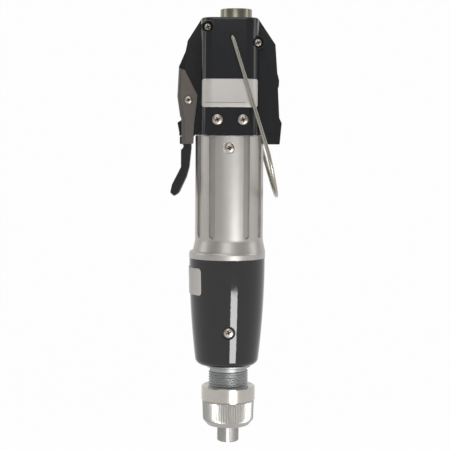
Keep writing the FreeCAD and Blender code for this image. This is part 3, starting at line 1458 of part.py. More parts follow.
round_edges(channel, s.lever_round, on_back)
(top_x, top_z), (crest_x, crest_z) = from_pivot(back)[:2]
pocket(channel, "XZ_Plane", inner_half, [[
    (top_x, top_z + 2.5),
    (top_x + s.lever_sheet + 0.1, top_z),
    (crest_x + s.lever_sheet + 0.1, crest_z),
    (s.pivot_x - 3.0, s.web_end),
    (s.pivot_x - 9, s.web_end),
    (s.pivot_x - 9, s.pivot_z - 28),
    (s.pivot_x + 9, s.pivot_z - 28),
    (s.pivot_x + 9, s.pivot_z + 21.5),
]], inner_half * 2)
pocket(channel, "XZ_Plane", s.lever_half_width + 1, [pivot_hole], s.lever_half_width * 2 + 2)
keep("lever_channel", channel)

tail = new_body("lever_tail")
tail_points = [(-5.0, -25.1), (-5.0, -21.3), (1.7, -21.3), (1.7, -27.3), (0.6, -38.1),
               (-1.0, -44.0, 6.0), (-5.2, -53.1, 3.0), (-8.1, -54.8, 1.0), (-10.4, -52.7, 1.0),
               (-9.4, -48.1, 6.0), (-4.3, -38.1), (-4.3, -28.2), (-2.9, -26.9), (-2.9, -25.1)]
tail_outline = [from_pivot([point[:2]])[0] + point[2:] for point in tail_points]
pad(tail, "XZ_Plane", s.tail_half_width, [tail_outline], s.tail_half_width * 2, True)
keep("lever_tail", tail)

pin_end = s.lever_half_width + s.seat_gap
pivot = turned("pivot_screw", [
    (ZERO, -pin_end * 2 - s.nut_height),
    (s.screw_radius, -pin_end * 2 - s.nut_height),
    (s.screw_radius, ZERO),
    (s.pivot_pan, ZERO),
    (s.pivot_pan, s.pivot_pan_height, 0.6),
    (ZERO, s.pivot_pan_height),
])
place(pivot, s.pivot_x, -pin_end, s.pivot_z, *FRONT)
nut = new_body("pivot_nut")
pad(nut, "XZ_Plane", -pin_end, [
    hexagon(s.nut_flats), (ZERO, ZERO, s.screw_radius + s.sliding_gap)], s.nut_height, True)
group("lever_pivot", [pivot, place(nut, s.pivot_x, ZERO, s.pivot_z)])


# Hanger bail

def bail_shape():
    """Round wire: a stub into each side of the head, two legs and a half circle."""
    half, corner = float(s.bail_half_width), float(s.bail_corner)
    straight = float(s.bail_reach) - half
    stub = float(s.head_half_depth - s.wall + 0.4)
    turn_start = half - corner
    bend = corner * math.sqrt(0.5)
    edges = []
    for side in (-1, 1):
        run = [Part.makeLine(Vector(0, side * stub, 0), Vector(0, side * turn_start, 0)),
               Part.Arc(Vector(0, side * turn_start, 0),
                        Vector(0, side * (turn_start + bend), bend - corner),
                        Vector(0, side * half, -corner)).toShape(),
               Part.makeLine(Vector(0, side * half, -corner), Vector(0, side * half, -straight))]
        edges += run if side < 0 else run[::-1]
        if side < 0:
            edges.append(Part.Arc(Vector(0, -half, -straight), Vector(0, 0, -straight - half),
                                  Vector(0, half, -straight)).toShape())
    path = Part.Wire(Part.__sortEdges__(edges))
    section = Part.Wire(Part.makeCircle(float(s.bail_wire), Vector(0, -stub, 0), Vector(0, 1, 0)))
    return path.makePipeShell([section], True, True)


bail = plain_feature("hanger_bail", bail_shape())
place(bail, s.bail_x, ZERO, bail_z, (0, -1, 0), s.bail_lean)
keep("hanger_bail", bail)


# Rating plate and badge

plate = new_body("rating_plate")
plate_front = s.head_half_depth + s.sliding_gap + s.plate_thickness
pad(plate, "XZ_Plane", s.head_half_depth - s.head_corner, [rectangle(
    -s.plate_half_width, s.plate_half_width, s.plate_start, s.plate_start + s.plate_height,
    s.plate_corner)], s.head_corner + 2)


def block_outline(grown, depth):
    """The front of the head block, a little larger."""
    reach, front, corner = s.head_half_width + grown, s.head_half_depth + grown, s.head_corner + grown
    return [(-reach, depth), (-reach, -front, corner), (reach, -front, corner), (reach, depth)]


plate_top = s.plate_start + s.plate_height + 1
pocket(plate, "XY_Plane", plate_top, [block_outline(s.sliding_gap, ZERO)], s.plate_height + 2)
pocket(plate, "XY_Plane", plate_top, [
    rectangle(-s.head_half_width - 5, s.head_half_width + 5, -s.head_half_depth - 5, Size(5)),
    block_outline(s.sliding_gap + s.plate_thickness, Size(2))], s.plate_height + 2)
keep("rating_plate", plate)


def casing_flank(height):
    """Radius of the casing at a height."""
    rise = float(s.casing_top) - float(height)
    bow = float(s.casing_bow)
    return float(s.casing_radius) - (bow - math.sqrt(bow ** 2 - rise ** 2))


badge_end = s.badge_start + s.badge_height
low_flank = Size(casing_flank(s.badge_start)) + s.sliding_gap
high_flank = Size(casing_flank(badge_end)) + s.sliding_gap
badge = turned("casing_badge", [
    (low_flank + 0.1, s.badge_start),
    (low_flank + s.plate_thickness, s.badge_start),
    (high_flank + s.plate_thickness, badge_end),
    (high_flank + 0.1, badge_end),
])
bind(badge.Tip, "Angle", s.badge_angle * 2)
doc.recompute()
round_edges(badge, s.badge_corner, lambda edge: edge.Length < float(s.plate_thickness) * 1.5)
place(badge, s.casing_shift, axis=(0, 0, 1), angle=180.0 - float(s.badge_angle))
badge.setExpression("Placement.Rotation.Angle", "180 - Sizes.badge_angle")
keep("casing_badge", badge)


# Checks and files

doc.recompute()
for item in doc.Objects:
    if "Invalid" in item.State or "Error" in item.State:
        raise RuntimeError("%s failed: %s" % (item.Name, item.State))
    if item.TypeId == "PartDesign::Pocket":
        before, after = item.BaseFeature.Shape.Volume, item.Shape.Volume
        if after > before - 0.01:
            raise RuntimeError("%s cuts nothing" % item.Name)
for name, item in pieces.items():
    if item.Shape.isNull() or not item.Shape.isValid():
        raise RuntimeError("%s has no valid shape" % name)

os.makedirs("parts", exist_ok=True)
for name, item in pieces.items():
    item.Shape.exportStep("parts/%s.step" % name)
print("%d pieces" % len(pieces))
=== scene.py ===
import math

import bpy
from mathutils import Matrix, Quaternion, Vector


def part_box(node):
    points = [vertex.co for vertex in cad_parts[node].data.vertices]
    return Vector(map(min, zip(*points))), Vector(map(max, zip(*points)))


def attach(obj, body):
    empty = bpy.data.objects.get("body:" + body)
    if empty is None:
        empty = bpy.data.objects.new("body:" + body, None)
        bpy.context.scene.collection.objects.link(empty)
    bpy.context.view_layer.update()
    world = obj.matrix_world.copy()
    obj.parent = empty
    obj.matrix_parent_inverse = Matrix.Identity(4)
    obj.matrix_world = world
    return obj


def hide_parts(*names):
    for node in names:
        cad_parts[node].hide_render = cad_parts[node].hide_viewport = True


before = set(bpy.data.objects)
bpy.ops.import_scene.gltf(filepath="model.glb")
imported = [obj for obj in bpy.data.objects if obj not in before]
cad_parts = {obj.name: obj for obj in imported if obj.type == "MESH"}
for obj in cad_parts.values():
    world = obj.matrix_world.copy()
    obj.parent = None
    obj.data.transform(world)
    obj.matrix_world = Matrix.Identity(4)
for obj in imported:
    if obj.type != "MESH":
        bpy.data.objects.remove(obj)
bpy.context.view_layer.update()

bl_info = {
    "name": "Torque screwdriver",
    "version": (1, 0, 0),
    "blender": (4, 5, 0),
    "location": "3D View > Sidebar > Screwdriver",
    "description": "Finishes the solids of an electric torque screwdriver and sets a plain studio",
    "category": "Object",
}

# The frame is the solids' own: metres, Z up the tool's axis from the mouth of the bit collar,
# the front towards -Y, the lever on -X and the direction rocker on +X. Sizes here are in millimetres.

MM = 0.001
AXIS = (0.0, 0.0, 1.0)
# Degrees past which an edge is sharp enough for a bevel, and past which it shades hard
SHARP, HARD = 38, 35
# Distance under which two vertices are one, and degrees under which two faces are one flat
MERGED, FLAT = 0.002, 0.4
# Distance under which a spot counts as lying at a height, and on the plane of an outline
NEAR, ON = 0.1, 0.02
# Across and up: the lever's pivot and the two upper screws, in the head's front
PIVOT = (-23.4, 197.2)
UPPER_SEATS = ((-12.4, 237.7), (15.7, 229.1))


def linear(code):
    """An sRGB hex colour as linear red, green and blue."""
    parts = [int(code[i:i + 2], 16) / 255 for i in (0, 2, 4)]
    return tuple(p / 12.92 if p <= 0.04045 else ((p + 0.055) / 1.055) ** 2.4 for p in parts)


def low(node):
    """The left, front, lower corner of a node's box in millimetres."""
    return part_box(node)[0] / MM


def high(node):
    """The right, rear, upper corner of a node's box in millimetres."""
    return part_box(node)[1] / MM


# Sizes and colours that a user would change

def length(name, what, value):
    return bpy.props.FloatProperty(name=name, description=what, default=value * MM, min=0.0,
                                   subtype="DISTANCE", unit="LENGTH", precision=5)


def colour(name, what, code):
    return bpy.props.FloatVectorProperty(name=name, description=what, default=linear(code),
                                         min=0.0, max=1.0, size=3, subtype="COLOR")


class ScrewdriverSizes(bpy.types.PropertyGroup):
    knurl_teeth: bpy.props.IntProperty(
        name="Knurl teeth", description="Straight teeth round the torque nut", default=90, min=24)
    knurl_depth: length("Knurl depth", "Depth of the nut's knurling", 0.45)
    thread_pitch: length("Thread pitch", "Rise of the nose thread in one turn", 1.5)
    thread_depth: length("Thread depth", "Crest to root of the nose thread", 0.75)
    recess_width: length("Recess width", "Width of the cross recess in a screw", 1.0)
    recess_depth: length("Recess depth", "Depth of the cross recess in a screw", 1.1)
    edge_break: length("Edge break", "Bevel on the edges of sheet and moulded pieces", 0.18)
    wire_width: length("Wire width", "Diameter of the hanger bail's wire", 2.1)
    rule_width: length("Rule width", "Thickness of the printed line on the plate", 0.22)


class ScrewdriverColours(bpy.types.PropertyGroup):
    head: colour("Head", "Satin moulded plastic of head and rocker", "151618")
    casing: colour("Casing", "Gloss moulded plastic of the clutch casing", "0A0A0B")
    barrel: colour("Barrel", "Blasted and nickel plated casting", "BCB9B4")
    lever: colour("Lever", "Warm grey lacquer on the lever's sheet", "645E59")
    plate: colour("Plate", "Foil of the rating plate and the badge", "BAB6B2")
    steel: colour("Steel", "Turned steel inside the nose", "A5A29D")
    wire: colour("Wire", "Nickel plated wire of the hanger bail", "A9A59A")
    floor: colour("Floor", "Studio floor", "F4F4F3")


# Small tools of the workshop

def add_node(tree, kind, settings=(), links=()):
    """Adds a node, sets its fields and sockets by name, and links sockets to its inputs."""
    made = tree.nodes.new(kind)
    for key, value in dict(settings).items():
        if isinstance(key, str) and hasattr(made, key):
            setattr(made, key, value)
        else:
            made.inputs[key].default_value = value
    for key, source in dict(links).items():
        tree.links.new(source, made.inputs[key])
    return made


def deselect():
    if bpy.context.object and bpy.context.object.mode != "OBJECT":
        bpy.ops.object.mode_set(mode="OBJECT")
    bpy.ops.object.select_all(action="DESELECT")


def choose(piece):
    """Makes a piece the active one and the only one selected."""
    deselect()
    bpy.context.view_layer.objects.active = piece
    piece.select_set(True)


def edit(piece):
    choose(piece)
    bpy.ops.object.mode_set(mode="EDIT")
    bpy.ops.mesh.select_mode(type="VERT")


def leave_edit():
    bpy.ops.object.mode_set(mode="OBJECT")


def pick(piece, chosen):
    """Selects the vertices of a piece that is in edit mode, by their place in millimetres."""
    leave_edit()
    for vertex in piece.data.vertices:
        vertex.select = bool(chosen(vertex.co / MM))
    for face in piece.data.polygons:
        face.select = all(piece.data.vertices[i].select for i in face.vertices)
    for line in piece.data.edges:
        line.select = all(piece.data.vertices[i].select for i in line.vertices)
    bpy.ops.object.mode_set(mode="EDIT")


def chain(name, points):
    """A line of edges through points in millimetres, drawn from one vertex."""
    deselect()
    bpy.ops.mesh.primitive_plane_add(size=2 * MM)
    piece = bpy.context.object
    piece.name = piece.data.name = name
    edit(piece)
    bpy.ops.mesh.select_all(action="SELECT")
    bpy.ops.mesh.merge(type="CENTER")
    bpy.ops.transform.translate(value=Vector(points[0]) * MM)
    for start, end in zip(points, points[1:]):
        step = (Vector(end) - Vector(start)) * MM
        bpy.ops.mesh.extrude_region_move(TRANSFORM_OT_translate={"value": step})
    leave_edit()
    return piece


def bent(corners, steps=12):
    """The centre line of a bent wire through corners, given as points and bend radii."""
    line = [Vector(corners[0][0])]
    for (before, _), (corner, radius), (after, _) in zip(corners, corners[1:], corners[2:]):
        corner = Vector(corner)
        back, on = (Vector(before) - corner).normalized(), (Vector(after) - corner).normalized()
        half = back.angle(on) / 2
        centre = (back + on).normalized() * radius / math.sin(half)
        start, end = (leg * radius / math.tan(half) - centre for leg in (back, on))
        line += [corner + centre + start.slerp(end, i / steps) * radius
                 for i in range(steps + 1)]
    return line + [Vector(corners[-1][0])]


def tidy(piece):
    """Merges double vertices and turns all faces outwards."""
    edit(piece)
    bpy.ops.mesh.select_all(action="SELECT")
    bpy.ops.mesh.remove_doubles(threshold=MERGED * MM)
    bpy.ops.mesh.normals_make_consistent(inside=False)
    leave_edit()


def lathe(name, profile, steps=96):
    """Turns a profile of (radius, height) round the tool's axis."""
    piece = chain(name, [(radius, 0.0, height) for radius, height in profile])
    edit(piece)
    bpy.ops.mesh.select_all(action="SELECT")
    bpy.ops.mesh.spin(steps=steps, angle=math.tau, center=(0, 0, 0), axis=AXIS)
    leave_edit()
    tidy(piece)
    return piece


def use_modifier(piece, kind, settings):
    """Adds one modifier and applies it."""
    choose(piece)
    added = piece.modifiers.new(kind.title(), kind)
    for key, value in settings.items():
        setattr(added, key, value)
    bpy.ops.object.modifier_apply(modifier=added.name)


def cut(piece, tool):
    """Takes the tool's volume out of the piece and removes the tool."""
    use_modifier(piece, "BOOLEAN", {"operation": "DIFFERENCE", "solver": "EXACT", "object": tool})
    bpy.data.objects.remove(tool)


def settle(piece):
    """Moves a piece's place, turn and size into its mesh."""
    choose(piece)
    bpy.ops.object.transform_apply(location=True, rotation=True, scale=True)


def joined(name, parts):
    """Joins parts into the first of them and names it."""
    deselect()
    for part in parts:
        part.select_set(True)
    bpy.context.view_layer.objects.active = parts[0]
    if len(parts) > 1:
        bpy.ops.object.join()
    parts[0].name = parts[0].data.name = name
    return parts[0]


def copied(piece, spot, turn):
    """A copy with its own mesh, turned about the origin and moved to a spot in millimetres."""
    made = piece.copy()
    made.data = piece.data.copy()
    bpy.context.scene.collection.objects.link(made)
    made.rotation_euler = [math.radians(angle) for angle in turn]
    made.location = Vector(spot) * MM
    settle(made)
    return made


def node_copy(node, name):
    """A merged copy of a CAD node, with flat faces whole again, ready for bevels."""
    made = bpy.data.objects.new(name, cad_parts[node].data.copy())
    bpy.context.scene.collection.objects.link(made)
    edit(made)
    bpy.ops.mesh.select_all(action="SELECT")
    bpy.ops.mesh.remove_doubles(threshold=MERGED * MM)
    bpy.ops.mesh.dissolve_limited(angle_limit=math.radians(FLAT))
    leave_edit()
    return made


def even_normals(piece):
    """Lets flat faces shade flat beside their bevels."""
    choose(piece)
    bpy.ops.object.shade_smooth_by_angle(angle=math.radians(HARD))
    use_modifier(piece, "WEIGHTED_NORMAL", {"keep_sharp": True, "weight": 100})


def finish(piece, body, finishes, node, angle=HARD):
    """Smooths, paints and mounts a finished piece. Its faces keep the number of their finish."""
    choose(piece)
    bpy.ops.object.shade_smooth_by_angle(angle=math.radians(angle))
    numbers = [face.material_index for face in piece.data.polygons]
    piece.data.materials.clear()
    for name in finishes:
        piece.data.materials.append(bpy.data.materials[name])
    piece.data.polygons.foreach_set("material_index", numbers)
    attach(piece, body)
    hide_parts(node)


# Finishes. Each row is one real material:
# name: two colours it drifts between, metallic, roughness and its spread, grain in mm along X, Y
# and Z, height of the grain in mm, and further sockets of the shader. The first colour may be one
# that a user would change, by its name.

FINISHES = {
    # ABS moulded in a polished mould: deep black, sharp reflections, a trace of orange peel.
    "Moulded gloss ABS": ("casing", "0D0D0E", 0.0, 0.06, 0.02, (2.2, 2.2, 2.2), 0.0006,
                          {"IOR": 1.52}),
    # The same plastic from a satin mould: reflections are spread into soft bands.
    "Moulded satin ABS": ("head", "191A1C", 0.0, 0.13, 0.03, (2.2, 2.2, 2.2), 0.0015,
                          {"IOR": 1.5}),
    # Zinc die casting, blasted and satin nickel plated: soft broad highlights, fine even grain.
    "Satin nickel casting": ("barrel", "B1AEAA", 1.0, 0.4, 0.04, (0.5, 0.5, 0.5), 0.006, {}),
    # The same casting on the flutes' floors, made darker: painted shade.
    "Casting with painted shade in the flutes": ("A9A5A1", "A09C98", 1.0, 0.42, 0.04, (0.5, 0.5, 0.5), 0.006, {}),
    # The same casting on the flutes' edges, near white: a painted highlight.
    "Casting with painted highlight on the flute edges": ("F2EEEA", "EAE6E2", 0.25, 0.4, 0.04, (0.5, 0.5, 0.5), 0.002, {}),
    # Pressed steel under a warm grey lacquer with metal flake.
    "Lacquered pressed steel": ("lever", "58524E", 0.5, 0.34, 0.06, (0.4, 0.4, 0.4), 0.004, {}),
    # Nylon with glass fibre: dull black with a faint moulded grain.
    "Glass filled nylon": ("1D1D1E", "262627", 0.0, 0.5, 0.1, (0.6, 0.6, 0.6), 0.02, {}),
    # Soft vinyl that the steel tail was dipped in: black, smooth and slightly shiny.
    "Dipped vinyl": ("0D0C0C", "121111", 0.0, 0.26, 0.04, (1.5, 1.5, 1.5), 0.004, {}),
    # Steel wire, bent and nickel plated: warm and bright, drawn lines along the wire.
    "Nickel plated wire": ("wire", "98948A", 1.0, 0.28, 0.06, (0.6, 0.6, 8.0), 0.002, {}),
    # Brass turned and nickel plated: a yellow cast under the plating, turned rings.
    "Nickel plated brass": ("928E80", "7F7B6C", 1.0, 0.3, 0.06, (5.0, 5.0, 0.3), 0.003, {}),
    # Zinc plated and passivated screw steel: bright, slightly mottled.
    "Zinc plated screw": ("BDB3A8", "9E958C", 1.0, 0.32, 0.12, (0.8, 0.8, 0.8), 0.004, {}),
    # The same steel in the cross recess, made dark: painted shade, with dust from the driver.
    "Screw steel with painted shade and dust in the recess": ("4A433D", "35302C", 0.8, 0.5, 0.08, (0.5, 0.5, 0.5), 0.004, {}),
    # Steel turned on a lathe: fine rings round the axis.
    "Turned steel": ("steel", "8D8A86", 1.0, 0.3, 0.1, (6.0, 6.0, 0.18), 0.006, {}),
    # Steel cut with a thread, lightly oiled: darker in the roots.
    "Threaded steel": ("B0B1B0", "9C9E9D", 1.0, 0.5, 0.08, (5.0, 5.0, 0.3), 0.003, {}),
    # Aluminium knurled and clear anodised: pale, bright crests.
    "Knurled aluminium": ("AFADAA", "A3A19E", 1.0, 0.4, 0.06, (4.0, 4.0, 0.4), 0.002, {}),
    # Aluminium turned smooth, with a warm grey anodised skin.
    "Turned anodised band": ("BDB7B1", "B3ADA7", 1.0, 0.22, 0.04, (5.0, 5.0, 0.4), 0.001, {}),
    # Steel blasted with glass beads: pale and matt.
    "Blasted steel": ("A5A29F", "979491", 1.0, 0.58, 0.06, (0.4, 0.4, 0.4), 0.006, {}),
    # Hardened and ground bearing steel: close to a mirror.
    "Ground bearing steel": ("CFCFCF", "BEBEC0", 1.0, 0.1, 0.05, (4.0, 4.0, 0.2), 0.001, {}),
    # Phosphated gear steel: dark grey and dull.
    "Phosphated gear steel": ("6C6B68", "5A5957", 1.0, 0.42, 0.1, (0.5, 0.5, 0.5), 0.004, {}),
    # Spring steel, oil tempered: blue-grey drawn surface.
    "Oil tempered spring steel": ("6F7175", "5D5F63", 1.0, 0.3, 0.1, (0.4, 0.4, 0.4), 0.004, {}),
    # Electrical sheet stacked into a core: the edges of half millimetre plates.
    "Stacked electrical sheet": ("77756F", "4E4C49", 0.9, 0.45, 0.1, (40.0, 40.0, 0.5), 0.05, {}),
    # Enamelled copper wire in a winding: strands side by side.
    "Enamelled copper winding": ("B5642F", "8A4520", 0.6, 0.3, 0.08, (0.6, 0.6, 5.0), 0.12,
                                 {"Coat Weight": 0.6, "Coat Roughness": 0.15}),
    # Hard drawn copper of the commutator, burnished by the brushes.
    "Burnished copper": ("C67A4B", "A8623A", 1.0, 0.25, 0.1, (6.0, 6.0, 0.2), 0.004, {}),
    # Carbon brush: graphite, black with a soft metallic sheen.
    "Pressed graphite": ("333335", "272729", 0.3, 0.55, 0.1, (0.3, 0.3, 0.3), 0.01, {}),
    # Ferrite magnet: sintered, brown-black and dull.
    "Sintered ferrite": ("3A3836", "2E2C2A", 0.0, 0.62, 0.1, (0.6, 0.6, 0.6), 0.02, {}),
    # Sintered bronze and drawn brass inside the tool.
    "Drawn brass": ("C7A458", "AE8B43", 1.0, 0.28, 0.1, (0.5, 0.5, 4.0), 0.004, {}),
    # Gold plated contact pins.
    "Gold plated contact": ("E6C46B", "D4AE52", 1.0, 0.2, 0.06, (0.5, 0.5, 3.0), 0.002, {}),
    # Fibreglass board under green solder mask.
    "Solder masked laminate": ("1F5B3A", "174A2E", 0.0, 0.3, 0.08, (0.8, 0.8, 0.8), 0.01,
                               {"Coat Weight": 0.4, "Coat Roughness": 0.2}),
    # Screen printed ink, nearly black and matt.
    "Printed line": ("3A3A3C", "434345", 0.0, 0.6, 0.05, (0.4, 0.4, 0.4), 0.001, {}),
    # Adhesive aluminium foil, lacquered: pale, nearly matt.
    "Lacquered foil": ("plate", "B0ACA8", 0.2, 0.42, 0.06, (0.35, 8.0, 8.0), 0.002, {}),
}

# What each solid is made of, by finish

MADE_OF = {
    "Moulded gloss ABS": ("clutch_casing",),
    "Moulded satin ABS": ("head_front_shell", "head_rear_shell", "direction_rocker"),
    "Satin nickel casting": ("barrel", "gear_case"),
    "Lacquered pressed steel": ("lever_channel",),
    "Dipped vinyl": ("lever_tail",),
    "Glass filled nylon": ("connector_insert", "motor_end_cap", "start_switch",
                           "direction_switch", "start_plunger"),
    "Nickel plated wire": ("hanger_bail",),
    "Nickel plated brass": ("connector_shell",),
    "Zinc plated screw": ("head_screws", "barrel_screw", "casing_screw", "lever_pivot",
                          "frame_screws"),
    "Blasted steel": ("bit_collar",),
    "Turned steel": ("spindle", "stop_ring", "spring_seat", "thrust_washer", "cam_plate",
                     "drive_plate", "output_carrier", "first_carrier",
                     "motor_shaft", "motor_can"),
    "Threaded steel": ("nose_tube",),
    "Knurled aluminium": ("torque_nut",),
    "Ground bearing steel": ("bearing_outer_race", "bearing_inner_race", "bearing_balls",
                             "clutch_balls", "detent_balls"),
    "Phosphated gear steel": ("ring_gear", "sun_gear", "first_planet_1", "first_planet_2",
                              "first_planet_3", "output_planet_1", "output_planet_2",
                              "output_planet_3"),
    "Oil tempered spring steel": ("clutch_spring", "collar_spring"),
    "Stacked electrical sheet": ("armature_core",),
    "Enamelled copper winding": ("armature_winding",),
    "Burnished copper": ("commutator",),
    "Pressed graphite": ("carbon_brushes",),
    "Sintered ferrite": ("motor_magnets",),
    "Drawn brass": ("shaft_bushes", "brush_holders"),
    "Gold plated contact": ("connector_contacts",),
    "Solder masked laminate": ("circuit_board",),
    "Lacquered foil": ("rating_plate", "casing_badge"),
}


# Width in mm of the patches in which a finish drifts between its two colours
DRIFT = 7.0


def tone(shade):
    """A colour that a user would change, by its name, or a fixed one by its hex code."""
    user = bpy.context.scene.screwdriver_colours
    return tuple(getattr(user, shade)) if hasattr(user, shade) else linear(shade)


def mix_finish(name):
    """Makes one finish: drifting colour, drifting roughness and a grain, all in object space."""
    first, second, metallic, rough, spread, grain, height, extra = FINISHES[name]
    material = bpy.data.materials.new(name)
    material.use_nodes = True
    tree = material.node_tree
    shader = tree.nodes["Principled BSDF"]
    place = add_node(tree, "ShaderNodeTexCoord").outputs["Object"]
    drift = add_node(tree, "ShaderNodeTexNoise", {"Scale": 1 / (DRIFT * MM), "Detail": 3.0},
                     {"Vector": place}).outputs["Fac"]
    tint = add_node(tree, "ShaderNodeMix", {"data_type": "RGBA"}, {0: drift})
    tint.inputs[6].default_value = (*tone(first), 1)
    tint.inputs[7].default_value = (*tone(second), 1)
    tree.links.new(tint.outputs[2], shader.inputs["Base Color"])
    stretch = add_node(tree, "ShaderNodeMapping",
                       {"Scale": [1 / (size * MM) for size in grain]}, {"Vector": place})
    fine = add_node(tree, "ShaderNodeTexNoise", {"Scale": 1.0, "Detail": 2.0},
                    {"Vector": stretch.outputs[0]}).outputs["Fac"]
    gloss = add_node(tree, "ShaderNodeMapRange",
                     {"To Min": rough - spread, "To Max": rough + spread}, {"Value": fine})
    tree.links.new(gloss.outputs[0], shader.inputs["Roughness"])
    bump = add_node(tree, "ShaderNodeBump", {"Strength": 1.0, "Distance": height * MM},
                    {"Height": fine})
    tree.links.new(bump.outputs[0], shader.inputs["Normal"])
    shader.inputs["Metallic"].default_value = metallic
    for socket, value in extra.items():
        shader.inputs[socket].default_value = value
    return material


# Operators

class SCREWDRIVER_OT_finishes(bpy.types.Operator):
    """Make every finish and give it to the solids"""
    bl_idname = "screwdriver.finishes"
    bl_label = "Finishes"

    def execute(self, context):
        for name in FINISHES:
            made = mix_finish(name)
            for node in MADE_OF.get(name, ()):
                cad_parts[node].data.materials.clear()
                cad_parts[node].data.materials.append(made)
        return {"FINISHED"}


class SCREWDRIVER_OT_stage(bpy.types.Operator):
    """Set the floor, the backdrop, the lamps and the camera"""
    bl_idname = "screwdriver.stage"
    bl_label = "Stage"
    # Sheets of paper: name, size in metres, place in millimetres and turn in degrees
    sheets = (("floor", 14.0, (0, 2000, -420), (0, 0, 0)),
              ("backdrop", 12.0, (0, 3600, 0), (90, 0, 0)))
    # Lamps: name, place in millimetres, width and height in metres, and glow. A narrow box low on
    # the right, that the gloss casing mirrors as one bright strip, a box over the camera, tall
    # boxes at both sides for the edges, and a broad one above.
    lamps = (("low strip", (262, -645, -200), 0.27, 0.32, 12.5),
             ("front box", (-160, -1400, 760), 0.7, 0.7, 2.2),
             ("left box", (-1250, 60, 700), 0.55, 1.1, 1.7),
             ("right box", (1250, -60, 700), 0.55, 1.1, 1.7),
             ("top box", (-150, -500, 1500), 1.2, 1.2, 1.2))
    middle = (0, 0, 130)
    # The camera, as recovered from the photograph: place, aim and roll in degrees, and its lens
    eye, look, roll = (-2.3, -747.0, 177.7), (-2.3, 0.0, 125.7), 0.3
    lens, sensor, reach = 103.9, 36.0, (0.05, 30.0)
    # Share of the paper's white that is its own glow, its roughness, and the room light on the rest
    paper_glow, paper_rough, room_light = 0.98, 0.9, 0.36

    def execute(self, context):
        scene = context.scene
        scene.view_settings.view_transform = "Standard"
        for name, size, spot, turn in self.sheets:
            deselect()
            bpy.ops.mesh.primitive_plane_add(size=size)
            sheet = context.object
            sheet.name = sheet.data.name = name
            edit(sheet)
            bpy.ops.mesh.select_all(action="SELECT")
            bpy.ops.mesh.subdivide(number_cuts=3)
            leave_edit()
            sheet.rotation_euler = [math.radians(angle) for angle in turn]
            sheet.location = Vector(spot) * MM
            settle(sheet)
            sheet.data.materials.append(self.paper(name, tone("floor")))
        for name, spot, width, tall, glow in self.lamps:
            lamp = bpy.data.lights.new(name, "AREA")
            lamp.shape = "RECTANGLE"
            lamp.size, lamp.size_y = width, tall
            lamp.energy = glow * math.pi * width * tall
            holder = bpy.data.objects.new(name, lamp)
            scene.collection.objects.link(holder)
            holder.location = Vector(spot) * MM
            aim = Vector(self.middle) - Vector(spot)
            holder.rotation_euler = aim.to_track_quat("-Z", "Y").to_euler()
        self.camera(scene)
        self.surroundings(scene)
        return {"FINISHED"}

    def camera(self, scene):
        """Puts the camera where the photograph's stood."""
        lens = bpy.data.cameras.new("camera")
        lens.lens, lens.sensor_width = self.lens, self.sensor
        lens.clip_start, lens.clip_end = self.reach
        camera = bpy.data.objects.new("camera", lens)
        scene.collection.objects.link(camera)
        camera.location = Vector(self.eye) * MM
        aim = Vector(self.look) - Vector(self.eye)
        roll = Quaternion(AXIS, math.radians(self.roll))
        camera.rotation_euler = (aim.to_track_quat("-Z", "Y") @ roll).to_euler()
        scene.camera = camera

    def paper(self, name, shade):
        """Seamless background paper: white to the eye, and it keeps the object's shadow."""
        material = bpy.data.materials.new("Background paper " + name)
        material.use_nodes = True
        tree = material.node_tree
        shader = tree.nodes["Principled BSDF"]
        shader.inputs["Base Color"].default_value = (*shade, 1)
        shader.inputs["Roughness"].default_value = self.paper_rough
        ray = add_node(tree, "ShaderNodeLightPath")
        seen = add_node(tree, "ShaderNodeMath", {"operation": "MAXIMUM"},
                        {0: ray.outputs["Is Camera Ray"], 1: ray.outputs["Is Glossy Ray"]})
        seen = add_node(tree, "ShaderNodeMath", {"operation": "MAXIMUM"},
                        {0: seen.outputs[0], 1: ray.outputs["Is Transmission Ray"]})
        glow = add_node(tree, "ShaderNodeEmission", {"Color": (1, 1, 1, 1), "Strength": 1.0})
        share = add_node(tree, "ShaderNodeMath", {"operation": "MULTIPLY", 1: self.paper_glow},
                         {0: seen.outputs[0]})
        blend = add_node(tree, "ShaderNodeMixShader", (),
                         {0: share.outputs[0], 1: shader.outputs[0], 2: glow.outputs[0]})
        tree.links.new(blend.outputs[0], tree.nodes["Material Output"].inputs["Surface"])
        return material

    def surroundings(self, scene):
        """White to the camera, and a plain soft room light for the rest."""
        world = bpy.data.worlds.new("studio")
        scene.world = world
        world.use_nodes = True
        tree = world.node_tree
        room = tree.nodes["Background"]
        room.inputs["Color"].default_value = (1, 1, 1, 1)
        room.inputs["Strength"].default_value = self.room_light
        white = add_node(tree, "ShaderNodeBackground", {"Color": (1, 1, 1, 1), "Strength": 1.0})
        ray = add_node(tree, "ShaderNodeLightPath")
        blend = add_node(tree, "ShaderNodeMixShader", (),
                         {0: ray.outputs["Is Camera Ray"], 1: room.outputs[0],
                          2: white.outputs[0]})
        tree.links.new(blend.outputs[0], tree.nodes["World Output"].inputs["Surface"])


